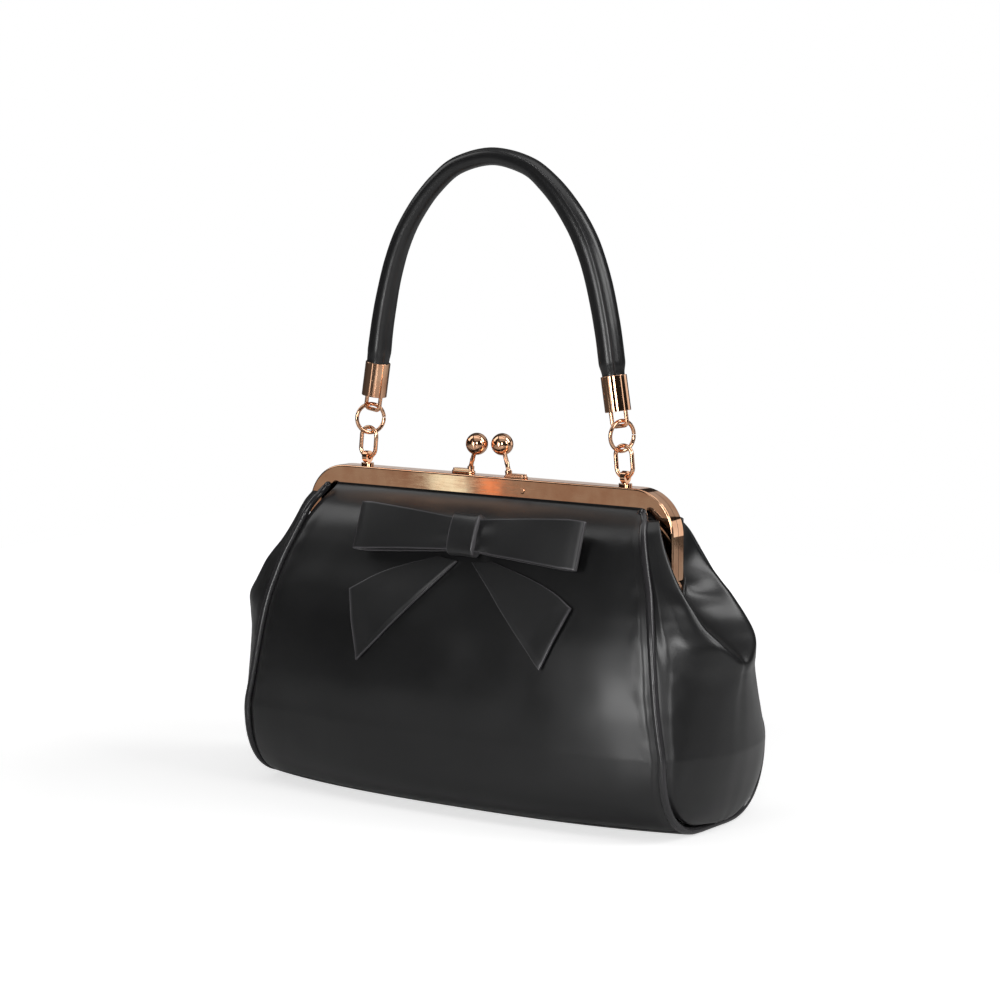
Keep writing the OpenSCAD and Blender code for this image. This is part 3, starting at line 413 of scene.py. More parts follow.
@dataclass(frozen=True)
class FinishedCowhide(Finish):
    """Chrome-tanned cowhide, pigment finished and ironed smooth: near black with a soft broad sheen.

    Attributes:
        colour: Body colour.
        pale: Colour where the finish is worn away; the bow's lighter one is a painted highlight along its
            cut edges and fold.
        bloom: How much lighter the dye is where it took less well.
        roughness: Middle roughness of the finish.
        spread: How far the roughness goes up and down from there.
        cloud_mm: Size of the patches in which dye and gloss change.
        grain_mm: Width of a pebble of the grain. The real grain is about 0.5 mm; it is drawn
            wider, because half a millimetre is less than one pixel.
        fine_share: Size of the fine grain between the pebbles, counted in grains per pebble.
        pebble_share: How much the pebbles count beside the fine grain.
        grain_depth_mm: Height of the grain.
        relief: Strength of the grain.
        wear: How much the sewn and folded edges are worn; on the bow it also sets how bright their painted
            highlight is.
    """

    colour: str = "#121213"
    pale: str = "#343335"
    bloom: float = 1.12
    roughness: float = 0.34
    spread: float = 0.05
    cloud_mm: float = 38.0
    grain_mm: float = 1.1
    fine_share: float = 2.2
    pebble_share: float = 0.6
    grain_depth_mm: float = 0.03
    relief: float = 0.55
    wear: float = 0.5

    def surface(self, tree: bpy.types.NodeTree, place: bpy.types.NodeSocket) -> bpy.types.NodeSocket:
        """Adds the shader with its patterns.

        Args:
            tree: Node tree of the material.
            place: Object coordinates.

        Returns:
            The shader's output.
        """
        pebble = add_node(
            tree, "ShaderNodeTexVoronoi", {"feature": "F1"},
            values={"Scale": 1 / (self.grain_mm * MM)}, links={"Vector": place},
        )
        fine = add_node(
            tree, "ShaderNodeTexNoise",
            values={"Scale": self.fine_share / (self.grain_mm * MM), "Detail": 3.0}, links={"Vector": place},
        )
        grain = add_node(
            tree, "ShaderNodeMath", {"operation": "MULTIPLY_ADD"}, {1: self.pebble_share},
            {0: pebble.outputs["Distance"], 2: fine.outputs["Fac"]},
        )
        cloud = add_node(
            tree, "ShaderNodeTexNoise",
            values={"Scale": 1 / (self.cloud_mm * MM), "Detail": 4.0}, links={"Vector": place},
        )
        # The pale colour goes on along the edges that the mesh marks: real wear on the shell, welt and
        # handle, and a painted highlight along the bow's cut edges and fold.
        worn = add_node(tree, "ShaderNodeAttribute", {"attribute_name": "edge_wear_and_highlight"})
        rubbed_and_highlight = add_node(
            tree, "ShaderNodeMath", {"operation": "MULTIPLY"},
            links={0: worn.outputs["Fac"], 1: cloud.outputs["Fac"]},
        )
        share = add_node(
            tree, "ShaderNodeMath", {"operation": "MULTIPLY", "use_clamp": True}, {1: self.wear},
            {0: rubbed_and_highlight.outputs[0]},
        )
        dye = add_node(
            tree, "ShaderNodeValToRGB", links={"Fac": cloud.outputs["Fac"]},
            stops=[(0.3, self.colour), (0.75, self.lighter(self.bloom))],
        )
        tint = add_node(
            tree, "ShaderNodeMix", {"data_type": "RGBA"}, {"B": linear(self.pale)},
            {"Factor": share.outputs[0], "A": dye.outputs["Color"]},
        )
        gloss = add_node(
            tree, "ShaderNodeMapRange",
            values={
                "From Min": 0.25, "From Max": 0.75,
                "To Min": self.roughness + self.spread, "To Max": self.roughness - self.spread,
            },
            links={"Value": cloud.outputs["Fac"]},
        )
        bump = add_node(
            tree, "ShaderNodeBump", values={"Strength": self.relief, "Distance": self.grain_depth_mm * MM},
            links={"Height": grain.outputs[0]},
        )
        skin = add_node(
            tree, "ShaderNodeBsdfPrincipled",
            values={
                "Specular IOR Level": 0.5, "Coat Weight": 0.18, "Coat Roughness": 0.22, "Sheen Weight": 0.04,
            },
            links={
                "Base Color": tint.outputs["Result"], "Roughness": gloss.outputs["Result"],
                "Normal": bump.outputs[0],
            },
        )
        return skin.outputs[0]

    def lighter(self, gain: float) -> str:
        """The body colour, lighter by a factor."""
        parts = [min(255, round(int(self.colour[i : i + 2], 16) * gain)) for i in (1, 3, 5)]
        return "#{:02x}{:02x}{:02x}".format(*parts)


@dataclass(frozen=True)
class PlatedSteel(Finish):
    """Pressed steel, polished and plated rose gold: mirror bright with faint buffing marks.

    Attributes:
        colour: Colour of the plating.
        dull: Colour where it is handled.
        patch_mm: Size of the handled patches.
        roughness: Middle roughness of the polish.
        smoother: How much less it is along the brightest marks.
        rougher: How much more it is along the dullest ones.
        mark_mm: Spacing of the buffing marks. The real ones are finer; they are drawn wide
            enough to break up the reflections.
        mark_depth_mm: Depth of the marks.
        along: Scale of the marks along the band, less than 1 because they run that way.
    """

    colour: str = "#efbf9b"
    dull: str = "#d89a76"
    patch_mm: float = 9.0
    roughness: float = 0.05
    smoother: float = 0.02
    rougher: float = 0.04
    mark_mm: float = 0.9
    mark_depth_mm: float = 0.02
    along: float = 0.12

    def surface(self, tree: bpy.types.NodeTree, place: bpy.types.NodeSocket) -> bpy.types.NodeSocket:
        """Adds the shader with its patterns.

        Args:
            tree: Node tree of the material.
            place: Object coordinates.

        Returns:
            The shader's output.
        """
        run = add_node(
            tree, "ShaderNodeMapping", values={"Scale": (self.along, 1.0, 1.0)}, links={"Vector": place}
        )
        marks = add_node(
            tree, "ShaderNodeTexNoise",
            values={"Scale": 1 / (self.mark_mm * MM), "Detail": 4.0}, links={"Vector": run.outputs[0]},
        )
        patch = add_node(
            tree, "ShaderNodeTexNoise",
            values={"Scale": 1 / (self.patch_mm * MM), "Detail": 3.0}, links={"Vector": place},
        )
        tint = add_node(
            tree, "ShaderNodeValToRGB", links={"Fac": patch.outputs["Fac"]},
            stops=[(0.35, self.colour), (0.9, self.dull)],
        )
        gloss = add_node(
            tree, "ShaderNodeMapRange",
            values={
                "From Min": 0.3, "From Max": 0.7,
                "To Min": self.roughness - self.smoother, "To Max": self.roughness + self.rougher,
            },
            links={"Value": marks.outputs["Fac"]},
        )
        bump = add_node(
            tree, "ShaderNodeBump", values={"Strength": 0.06, "Distance": self.mark_depth_mm * MM},
            links={"Height": marks.outputs["Fac"]},
        )
        plate = add_node(
            tree, "ShaderNodeBsdfPrincipled", values={"Metallic": 1.0},
            links={
                "Base Color": tint.outputs["Color"], "Roughness": gloss.outputs["Result"],
                "Normal": bump.outputs[0],
            },
        )
        return plate.outputs[0]


@dataclass(frozen=True)
class WovenCloth(Finish):
    """Plain woven polyester lining: dull, with a fine over-and-under weave.

    Attributes:
        colour: Colour of the raised threads.
        gap: Colour between the threads.
        thread_mm: Thread spacing; the real one is 0.3 mm, drawn wider so that it shows.
        thread_depth_mm: Height of a thread over the gaps.
    """

    colour: str = "#3b3634"
    gap: str = "#1b1817"
    thread_mm: float = 0.8
    thread_depth_mm: float = 0.1

    def surface(self, tree: bpy.types.NodeTree, place: bpy.types.NodeSocket) -> bpy.types.NodeSocket:
        """Adds the shader with its patterns.

        Args:
            tree: Node tree of the material.
            place: Object coordinates.

        Returns:
            The shader's output.
        """
        # At scale 1 a wave texture turns through 20 radians per unit, so a band is 0.314 wide.
        band_turn = 0.314
        waves = [
            add_node(
                tree, "ShaderNodeTexWave", {"bands_direction": way},
                {"Scale": band_turn / (self.thread_mm * MM), "Distortion": 0.6}, {"Vector": place},
            )
            for way in ("X", "Z")
        ]
        weave = add_node(
            tree, "ShaderNodeMath", {"operation": "MULTIPLY"},
            links={0: waves[0].outputs["Fac"], 1: waves[1].outputs["Fac"]},
        )
        tint = add_node(
            tree, "ShaderNodeValToRGB", links={"Fac": weave.outputs[0]},
            stops=[(0.0, self.gap), (0.7, self.colour)],
        )
        bump = add_node(
            tree, "ShaderNodeBump", values={"Strength": 0.5, "Distance": self.thread_depth_mm * MM},
            links={"Height": weave.outputs[0]},
        )
        cloth = add_node(
            tree, "ShaderNodeBsdfPrincipled",
            values={"Roughness": 0.82, "Sheen Weight": 0.3, "Sheen Roughness": 0.4},
            links={"Base Color": tint.outputs["Color"], "Normal": bump.outputs[0]},
        )
        return cloth.outputs[0]


@dataclass(frozen=True)
class PressedFibre(Finish):
    """Pressed grey board or twisted paper cord: matt, flecked with fibres.

    Attributes:
        colour: Body colour.
        fleck: Colour of the fibres.
        fibre_mm: Length of a fleck.
        nap_mm: Height of the fibres.
    """

    colour: str
    fleck: str
    fibre_mm: float = 1.5
    nap_mm: float = 0.08

    def surface(self, tree: bpy.types.NodeTree, place: bpy.types.NodeSocket) -> bpy.types.NodeSocket:
        """Adds the shader with its patterns.

        Args:
            tree: Node tree of the material.
            place: Object coordinates.

        Returns:
            The shader's output.
        """
        fibre = add_node(
            tree, "ShaderNodeTexNoise",
            values={"Scale": 1 / (self.fibre_mm * MM), "Detail": 6.0, "Roughness": 0.7},
            links={"Vector": place},
        )
        tint = add_node(
            tree, "ShaderNodeValToRGB", links={"Fac": fibre.outputs["Fac"]},
            stops=[(0.35, self.colour), (0.7, self.fleck)],
        )
        bump = add_node(
            tree, "ShaderNodeBump", values={"Strength": 0.4, "Distance": self.nap_mm * MM},
            links={"Height": fibre.outputs["Fac"]},
        )
        body = add_node(
            tree, "ShaderNodeBsdfPrincipled", values={"Roughness": 0.88},
            links={"Base Color": tint.outputs["Color"], "Normal": bump.outputs[0]},
        )
        return body.outputs[0]


@dataclass
class Finishes:
    """All finishes, built once."""

    shell: bpy.types.Material = field(init=False)
    welt: bpy.types.Material = field(init=False)
    bow: bpy.types.Material = field(init=False)
    handle: bpy.types.Material = field(init=False)
    frame: bpy.types.Material = field(init=False)
    wire: bpy.types.Material = field(init=False)
    lining: bpy.types.Material = field(init=False)
    board: bpy.types.Material = field(init=False)
    cord: bpy.types.Material = field(init=False)

    def __post_init__(self) -> None:
        """Builds each material."""
        self.shell = FinishedCowhide("smooth_cowhide").make()
        self.welt = FinishedCowhide("welt_cowhide", "#131314", "#454346", roughness=0.24, wear=0.9).make()
        # The bow's pale colour is lighter and its wear stronger, so that its cut edges and fold carry a
        # painted highlight.
        self.bow = FinishedCowhide("bow_cowhide", "#19191a", "#646265", roughness=0.38, wear=1.2).make()
        self.handle = FinishedCowhide("handle_cowhide", "#151516", roughness=0.31, wear=0.9).make()
        self.frame = PlatedSteel("rose_gold_plated_steel").make()
        self.wire = PlatedSteel("rose_gold_plated_wire", roughness=0.08, mark_mm=0.6).make()
        self.lining = WovenCloth("woven_lining").make()
        self.board = PressedFibre("grey_board", "#6e675f", "#8c8479").make()
        self.cord = PressedFibre("paper_cord", "#8b7a62", "#a8977d", 0.8).make()


def dress(piece: bpy.types.Object, material: bpy.types.Material, slot: Slot) -> None:
    """Gives a piece its material.

    Args:
        piece: The piece.
        material: Its only material.
        slot: The record's slot for it; not used.
    """
    piece.data.materials.clear()
    piece.data.materials.append(material)


# The leather shell


@dataclass(frozen=True)
class ShellForm:
    """Sizes and surfaces of the leather shell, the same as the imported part's.

    The tables of shares run from low to high: a table that ends in z gives the heights at which
    the others give their value.
    """

    # Frame that the leather hangs in
    frame_half_w: float = 119.4
    frame_top: float = 177.0
    half_out: float = 5.6
    band_half: float = 95.3
    band_low: float = 167.3
    channel_w: float = 4.8
    leg_low: float = 130.0
    channel_y: float = 3.7

    # Panels, base and piping
    seam_half_w: float = 135.9
    front_reach: float = 41.3
    rear_reach: float = 58.8
    flat_front: float = 4.2
    flat_rear: float = 21.6
    base_rise: float = 43.7
    front_crown: float = 11.0
    rear_crown: float = 10.0
    leather: float = 1.4
    welt_r: float = 2.2
    welt_drop: float = 2.7
    sewn_gap: float = 0.3
    sewn_share: float = 0.55
    fold_share: float = 1.4
    base_seam_z: float = 4.4
    flex_z: float = 121.0
    edge_depth: float = 7.0
    corner_reach: float = 5.0
    mouth_power: float = 6.0

    # Gusset: its lip, its hold on the frame's legs, and its runs round the hinge, lip and leg's foot
    lip_reach: float = 29.0
    lip_z: float = 92.0
    lip_grip: float = 0.5
    lip_turn: tuple[float, float, float] = (-2.5, 2.0, 0.0)
    lip_rise: float = 4.0
    lip_power: float = 0.7
    leg_gap: float = 0.7
    leg_blend: float = 4.0
    shoulder_out: float = 0.62
    shoulder_in: float = 0.45
    wrap_share: float = 0.6
    wrap_out: float = 1.0
    hold_run: tuple[float, float] = (-6.0, 9.0)
    fold_run: tuple[float, float] = (-6.0, 12.0)
    crease_run: tuple[float, float] = (-2.0, 10.0)
    behind_run: tuple[float, float] = (-2.0, 14.0)

    # Lining and board
    lining: float = 0.6
    lining_gap: float = 0.5
    board: float = 2.0

    seam_z: tuple[float, ...] = (0.247, 0.384, 0.548, 0.636, 0.712, 0.791, 0.877, 0.91, 0.952)
    seam_w: tuple[float, ...] = (1, 0.966, 0.932, 0.907, 0.881, 0.842, 0.801, 0.782, 0.758)
    seam_front: tuple[float, ...] = (1, 0.971, 0.893, 0.806, 0.702, 0.588, 0.44, 0.303, 0.109)
    seam_rear: tuple[float, ...] = (1, 0.925, 0.808, 0.714, 0.612, 0.503, 0.364, 0.23, 0.077)
    crown: tuple[float, ...] = (1, 1, 0.78, 0.62, 0.5, 0.43, 0.4, 0.34, -0.08)
    end_power: float = 2.37
    middle_power: float = 4.0
    swell_power: float = 2.6

    gusset_z: tuple[float, ...] = (
        0, 0.14, 0.3, 0.45, 0.62, 0.8, 0.92, 1, 1.1,
        1.2, 1.315, 1.38, 1.443, 1.513, 1.582, 1.651, 1.712, 1.755,
    )
    dome_front: tuple[float, ...] = (
        0.08, 0.3, 0.44, 0.54, 0.66, 0.81, 0.94, 1.04, 0.96,
        0.74, 0.56, 0.45, 0.34, 0.24, 0.16, 0.1, 0.05, 0,
    )
    dome_rear: tuple[float, ...] = (
        0.08, 0.3, 0.44, 0.54, 0.66, 0.81, 0.94, 1.05, 0.94,
        0.7, 0.455, 0.33, 0.24, 0.13, 0.06, 0.02, 0, 0,
    )
    valley: tuple[float, ...] = (0.1, 0.34, 0.5, 0.62, 0.74, 0.88, 1.0, 1.06, 0.7, 0.32, 0.04, 0.02, 0.01, 0)
    ridge_y: tuple[float, ...] = (
        0.3, 0.42, 0.42, 0.4, 0.36, 0.28, 0.2, 0.2, 0.4,
        0.55, 0.62, 0.6, 0.58, 0.58, 0.58, 0.58, 0.58, 0.58,
    )

    @property
    def seam_inset(self) -> float:
        """Distance of a panel's edge from the end seam."""
        return self.welt_r + self.sewn_gap

    @property
    def sewn_in(self) -> float:
        """Distance from the end seam at which the leather comes out beside the piping."""
        return self.seam_inset * self.sewn_share

    @property
    def middle_y(self) -> float:
        """Depth of the middle of the base."""
        return (self.flat_rear - self.flat_front) / 2

    @property
    def flex_top(self) -> float:
        """Height at which the panel meets the channel's mouth."""
        return self.band_low - 3 * self.sewn_gap

    @property
    def welt_top(self) -> float:
        """Height of the end seam's top."""
        return self.band_low - self.welt_drop

    @property
    def hold_y(self) -> float:
        """Depth of the leather that lies against a frame leg."""
        return self.half_out + self.leg_gap + self.leather / 2

    @property
    def fold_top(self) -> float:
        """Height of the gusset's upper edge."""
        return self.welt_top - self.welt_r * self.fold_share

    @property
    def gusset_low(self) -> float:
        """Height of the gusset's lower edge."""
        return 2 * self.welt_r + self.sewn_gap + self.leather / 2

    def flat_y(self, side: Side) -> float:
        """Depth at which the flat of the base ends."""
        return -self.flat_front if side is Side.FRONT else self.flat_rear

    def seam_x(self, z: float) -> float:
        """Half the width of the body at the end seams."""
        if z <= self.base_rise:
            return self.seam_half_w
        return smooth_at(table(self.seam_z, self.frame_top, self.seam_w, self.seam_half_w), z)

    def swell(self, u: float) -> float:
        """Share of the full swell across a panel, u from -1 to 1."""
        return 0.0 if abs(u) >= 1 else 1 - abs(u) ** self.swell_power

    def base_curve(self, z: float, low: float, power: float) -> float:
        """Share of the wall's full reach at a height, round the curve over the base.

        Args:
            z: Height.
            low: Height of the lowest line of this surface.
            power: How square the curve is, 2 for an ellipse.

        Returns:
            The share, from 0 at the lowest line to 1 above the curve.
        """
        if z >= self.base_rise:
            return 1.0
        drop = (self.base_rise - max(z, low)) / (self.base_rise - low)
        return max(0.0, 1 - drop**power) ** (1 / power)

    def wall_y(self, side: Side, z: float, low: float, u: float, inset: float = 0.0) -> float:
        """Depth of a wall.

        Args:
            side: Front or rear.
            z: Height.
            low: Height of the lowest line of this surface.
            u: Place across the wall, from -1 to 1.
            inset: How far the surface lies inside the leather's middle.

        Returns:
            The signed depth.
        """
        front = side is Side.FRONT
        reach = self.front_reach if front else self.rear_reach
        shares = self.seam_front if front else self.seam_rear
        full, crown = reach, 1.0
        if z > self.base_rise:
            full = smooth_at(table(self.seam_z, self.frame_top, shares, reach), z)
            crown = smooth_at(table(self.seam_z, self.frame_top, self.crown, 1), z)
        start = self.flat_y(side)
        middle = self.front_crown if front else self.rear_crown
        out = full - side.value * start + middle * crown * self.swell(u) - inset
        power = mix(self.end_power, self.middle_power, self.swell(u))
        return start + side.value * out * self.base_curve(z, low, power)

    def seam_point(self, side: Side, z: float) -> Vector:
        """Point of the right end seam."""
        return Vector((self.seam_x(z), self.wall_y(side, z, self.welt_r, 1), z))

    def panel_point(
        self, side: Side, z: float, u: float, inset: float = 0.0, low: float | None = None
    ) -> Vector:
        """Point of a panel's middle surface, bent in towards the frame's channel at the top.

        Args:
            side: Front or rear.
            z: Height, up to the edge inside the channel.
            u: Place across the panel, from -1 to 1.
            inset: How far the surface lies inside the leather's middle.
            low: Lowest line of the surface, half the leather's thickness if not given.

        Returns:
            The point.
        """
        level = min(z, self.flex_top)
        half = self.seam_x(level) - self.sewn_in
        y = self.wall_y(side, level, self.leather / 2 if low is None else low, u, inset)
        if level > self.flex_z:
            pull = ((level - self.flex_z) / (self.flex_top - self.flex_z)) ** self.mouth_power
            half = mix(half, self.band_half + self.corner_reach, pull)
            y = mix(y, side.value * (self.channel_y - inset), pull)
        return Vector((u * half, y, z))

    def lean(self, z: float) -> float:
        """Depth of the gusset's middle line, which comes forward as it rises to the lip."""
        return self.middle_y * max(0.0, 1 - z / self.lip_z)

    def arm(self, side: Side, seam: Vector) -> list[Vector]:
        """Outline of the right gusset at one height, from its seam to its ridge.

        Args:
            side: Front or rear half of the gusset.
            seam: Point of the end seam at this height.

        Returns:
            Start beside the piping, shoulder and ridge.
        """
        z = seam.z
        inner = mix(self.lean(z), side.value * self.hold_y, ease_near(self.flex_z, self.hold_run, z))
        dome = self.dome_front if side is Side.FRONT else self.dome_rear
        out = smooth_at(table(self.gusset_z, self.lip_z, dome, self.lip_reach), z)
        share = smooth_at(table(self.gusset_z, self.lip_z, self.ridge_y, 1), z)
        behind = self.frame_half_w - seam.x
        out += (behind + math.hypot(behind, self.leg_blend)) / 4
        ridge = Vector((seam.x + out, mix(inner, seam.y, share), z))
        shoulder = Vector(
            (mix(seam.x, ridge.x, self.shoulder_out), mix(seam.y, ridge.y, self.shoulder_in), z)
        )
        start = seam + (shoulder - seam).normalized() * self.sewn_in
        return [start, shoulder, ridge]

    def gusset_half(self, side: Side, z: float, t: float) -> Vector:
        """Point of the right gusset below the hinge.

        Args:
            side: Front or rear half of the gusset.
            z: Height.
            t: From 0 at the end seam to 1 at the middle valley.

        Returns:
            The point.
        """
        x = self.seam_x(z)
        mid = smooth_at(table(self.gusset_z, self.lip_z, self.valley, self.lip_reach), z)
        near, far = (
            self.arm(s, Vector((x, self.wall_y(s, z, self.gusset_low, 1), z)))
            for s in (side, Side.REAR if side is Side.FRONT else Side.FRONT)
        )
        line = near + [Vector((x + mid, self.lean(z), z))] + far[::-1]
        return bend(line, 3 * t, (2, 4), self.crease(z))

    def crease(self, z: float) -> float:
        """How softly the ridge turns: sharp above the lip, soft below it."""
        return mix(1, self.lip_grip, ease_near(self.lip_z, self.crease_run, z))

    def fold_half(self, side: Side, z: float, t: float) -> Vector:
        """Point of the right gusset's fold beside a frame leg, above the hinge.

        The front half ends in a free lip that runs from the leg's foot up to the piping's top,
        the rear half goes in behind the leg.

        Args:
            side: Front or rear half of the gusset.
            z: Height.
            t: From 0 at the end seam to 1 at the frame's leg.

        Returns:
            The point.
        """
        start, shoulder, ridge = self.arm(side, self.seam_point(side, z))
        hold = Vector((self.frame_half_w, side.value * self.hold_y, z))
        if side is Side.FRONT:
            free = ease(self.leg_low - self.lip_rise, self.fold_top, z) ** self.lip_power
            end = hold.lerp(ridge + Vector(self.lip_turn), free)
            wrap = (ridge + end) / 2
        else:
            end = hold - Vector((self.channel_w * ease_near(self.leg_low, self.behind_run, z), 0, 0))
            wrap = hold + Vector((-self.wrap_share * (hold.x - end.x), self.wrap_out, 0))
        place = 3 * t if t < 2 / 3 else 6 * t - 2
        return bend([start, shoulder, ridge, wrap, end], min(4.0, place), (2,), self.crease(z))

    def gusset_point(self, side: Side, z: float, t: float) -> Vector:
        """Point of the right gusset, from its lower edge to the frame's corner.

        Args:
            side: Front or rear half of the gusset.
            z: Height.
            t: From 0 at the end seam to 1 at the middle or the frame's leg.

        Returns:
            The point.
        """
        share = ease_near(self.flex_z, self.fold_run, z)
        low = self.gusset_half(side, z, t) if share < 1 else Vector()
        high = self.fold_half(side, z, t) if share > 0 else Vector()
        return low.lerp(high, share)


@dataclass
class LeatherShell:
    """Panels, base and gussets: the shell that the frame holds open or shut.

    Attributes:
        form: Sizes and surfaces of the shell.
        finishes: Materials.
        roll: How far a panel's edge is drawn in along the seam.
        roll_run: Distance over which it is drawn in.
        sag: Height of the broad hollows and swellings of the hide.
        sag_wave: Their length.
        small_sag: Height of the smaller hollows, as a share of the broad ones'.
        small_wave: Their length, as a share.
        free_run: Distances from a seam between which the hide becomes free to sag.
        pucker: Height of the small puckers along the sewn seam.
        pucker_wave: Their spacing.
        pucker_at: Distance from the seam where they are highest.
        pucker_run: How fast they fade from there.
        pucker_rest: Share of their height that every place has.
        seeds: Starts of the noise for the broad hollows, the small ones and the puckers.
        tuck: Share by which each half of a gusset runs on under the other, where they are one skin.
        dip: How deep the part that runs on lies.
        base_roll: How far the panels and the base are drawn in where they are sewn together.
        mouth_share: Share of a panel's rows that lies below the frame's channel.
        crowd: How much closer the columns stand at a panel's edges.
        half_girth: Length of hide across half a gusset.
        part_run: Heights from the split line between which the two halves stop running on.
        valley_calm: Share of the relief that is left in the gusset's middle.
        valley_run: Places across half a gusset between which it calms down to that.
        corner_calm: Share of the relief that goes where the gusset ends at the frame's corner.
        mouth_calm: Height under the channel's mouth over which a panel's relief goes.
        base_roll_run: Height over the base seam within which the panel is drawn in.
        seam_wear: Distances from an end seam between which the wear goes.
        base_wear: Heights over the base seam between which the wear goes.
        base_worn: How worn the base seam is beside the end seams.
    """

    form: ShellForm
    finishes: Finishes
    tuck: float = 0.045
    roll: float = 1.5
    roll_run: float = 4.5
    sag: float = 1.1
    sag_wave: float = 62.0
    small_sag: float = 0.35
    small_wave: float = 0.42
    free_run: tuple[float, float] = (3.0, 30.0)
    pucker: float = 0.22
    pucker_wave: float = 8.0
    pucker_at: float = 5.5
    pucker_run: float = 4.5
    pucker_rest: float = 0.6
    seeds: tuple[float, float, float] = (3.1, 8.7, 1.7)
    dip: float = 0.4
    base_roll: float = 0.9
    mouth_share: float = 0.95
    crowd: float = 1.25
    half_girth: float = 34.0
    part_run: tuple[float, float] = (-14.0, -6.0)
    valley_calm: float = 0.35
    valley_run: tuple[float, float] = (0.55, 0.8)
    corner_calm: float = 0.7
    mouth_calm: float = 16.0
    base_roll_run: float = 3.5
    seam_wear: tuple[float, float] = (1.5, 6.0)
    base_wear: tuple[float, float] = (1.0, 5.0)
    base_worn: float = 0.7

    def build(self) -> list[bpy.types.Object]:
        """Builds every leather piece of the shell.

        Returns:
            The pieces.
        """
        pieces = [self.panel(side) for side in Side]
        pieces.append(self.base())
        pieces += [self.gusset(end, side) for end in End for side in Side]
        return pieces

    def relief(self, p: Vector, to_seam: float) -> float:
        """Height of the hide over its smooth form.

        Args:
            p: Point in millimetres.
            to_seam: Distance from the sewn seam in millimetres.

        Returns:
            The height, negative where the edge is drawn in.
        """
        free = ease(*self.free_run, to_seam)
        broad_seed, small_seed, pucker_seed = self.seeds
        hollows = ripple(p, self.sag_wave, broad_seed)
        hollows += self.small_sag * ripple(p, self.sag_wave * self.small_wave, small_seed)
        broad = self.sag * free * hollows
        drawn = -self.roll * (1 - ease(0, self.roll_run, to_seam))
        near = math.exp(-(((to_seam - self.pucker_at) / self.pucker_run) ** 2))
        small = self.pucker * near * (self.pucker_rest + ripple(p, self.pucker_wave, pucker_seed))
        return broad + drawn + small

    def panel(self, side: Side) -> bpy.types.Object:
        """Builds the front or rear panel.

        Args:
            side: Front or rear.

        Returns:
            The piece.
        """
        form = self.form
        low, mouth = form.base_seam_z + form.sewn_gap / 2, form.band_low - form.sewn_gap

        def height(v: float) -> float:
            """Height of row v, up into the channel."""
            if v <= self.mouth_share:
                return mix(low, mouth, v / self.mouth_share)
            return mix(mouth, mouth + form.edge_depth, (v - self.mouth_share) / (1 - self.mouth_share))

        def spot(u: float) -> float:
            """Place across the panel of column u, from -1 to 1."""
            a = 2 * u - 1
            return math.copysign(1 - (1 - abs(a)) ** self.crowd, a)

        def place(u: float, v: float) -> Vector:
            """Point of the panel's middle surface."""
            z, a = height(v), spot(u)
            p = form.panel_point(side, z, a)
            to_seam = (1 - abs(a)) * abs(form.seam_x(min(z, mouth)))
            calm = 1 - ease(mouth - self.mouth_calm, mouth, z)
            lift = self.relief(p, to_seam) * calm
            lift -= self.base_roll * (1 - ease(0, self.base_roll_run, z - low))
            return p + Vector((0, side.value * lift, 0))

        def wear(u: float, v: float) -> float:
            """Wear along the end seams and the base seam."""
            z, a = height(v), spot(u)
            to_seam = (1 - abs(a)) * form.seam_half_w
            beside_base = self.base_worn * (1 - ease(*self.base_wear, z - low))
            return max(1 - ease(*self.seam_wear, to_seam), beside_base)

        name = f"{side.word}_panel_leather"
        piece = Grid(name, rows=150, columns=190, flip=side is Side.REAR).make(place, wear)
        thicken(piece, form.leather)
        dress(piece, self.finishes.shell, Slot.LEATHER)
        side.half
        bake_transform(piece)
        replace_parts(piece, f"{side.word}_panel", f"{side.word}_panel_flex")
        return piece

    def base(self) -> bpy.types.Object:
        """Builds the base panel with its turned-up front and rear edges.

        Returns:
            The piece.
        """
        form = self.form
        low, top = form.leather / 2, form.base_seam_z - form.sewn_gap / 2
        flat = 0.4

        def place(u: float, v: float) -> Vector:
            """Point of the base: flat over the middle rows, turned up over the outer ones."""
            a = 2 * u - 1
            side = Side.FRONT if v < 0.5 else Side.REAR
            rise = max(0.0, abs(2 * v - 1) - flat) / (1 - flat)
            z = mix(low, top, rise**2)
            edge = form.wall_y(side, z, low, a)
            over = (v - (1 - flat) / 2) / flat
            y = edge if rise > 0 else mix(form.flat_y(Side.FRONT), form.flat_y(Side.REAR), over)
            y -= side.value * self.base_roll * ease(0.7, 1, rise)
            return Vector((a * (form.seam_x(z) - form.sewn_in), y, z))

        def wear(u: float, v: float) -> float:
            """Wear along the turned-up edges."""
            return ease(0.85, 1, abs(2 * v - 1))

        piece = Grid("base_panel_leather", rows=90, columns=120).make(place, wear)
        thicken(piece, form.leather)
        dress(piece, self.finishes.shell, Slot.LEATHER)
        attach(piece, "body")
        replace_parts(piece, "base_panel")
        return piece

    def gusset(self, end: End, side: Side) -> bpy.types.Object:
        """Builds the front or rear half of an end gusset, up to the frame's corner.

        Args:
            end: Left or right end.
            side: Front or rear half.

        Returns:
            The piece.
        """
        form = self.form
        top = form.fold_top

        def smooth(u: float, v: float) -> Vector:
            """Point of the gusset's smooth form."""
            z = mix(form.gusset_low, top, v)
            past = 1 - ease_near(form.flex_z, self.part_run, z)
            return form.gusset_point(side, z, min(u, 1) + max(0.0, u - 1) * past)

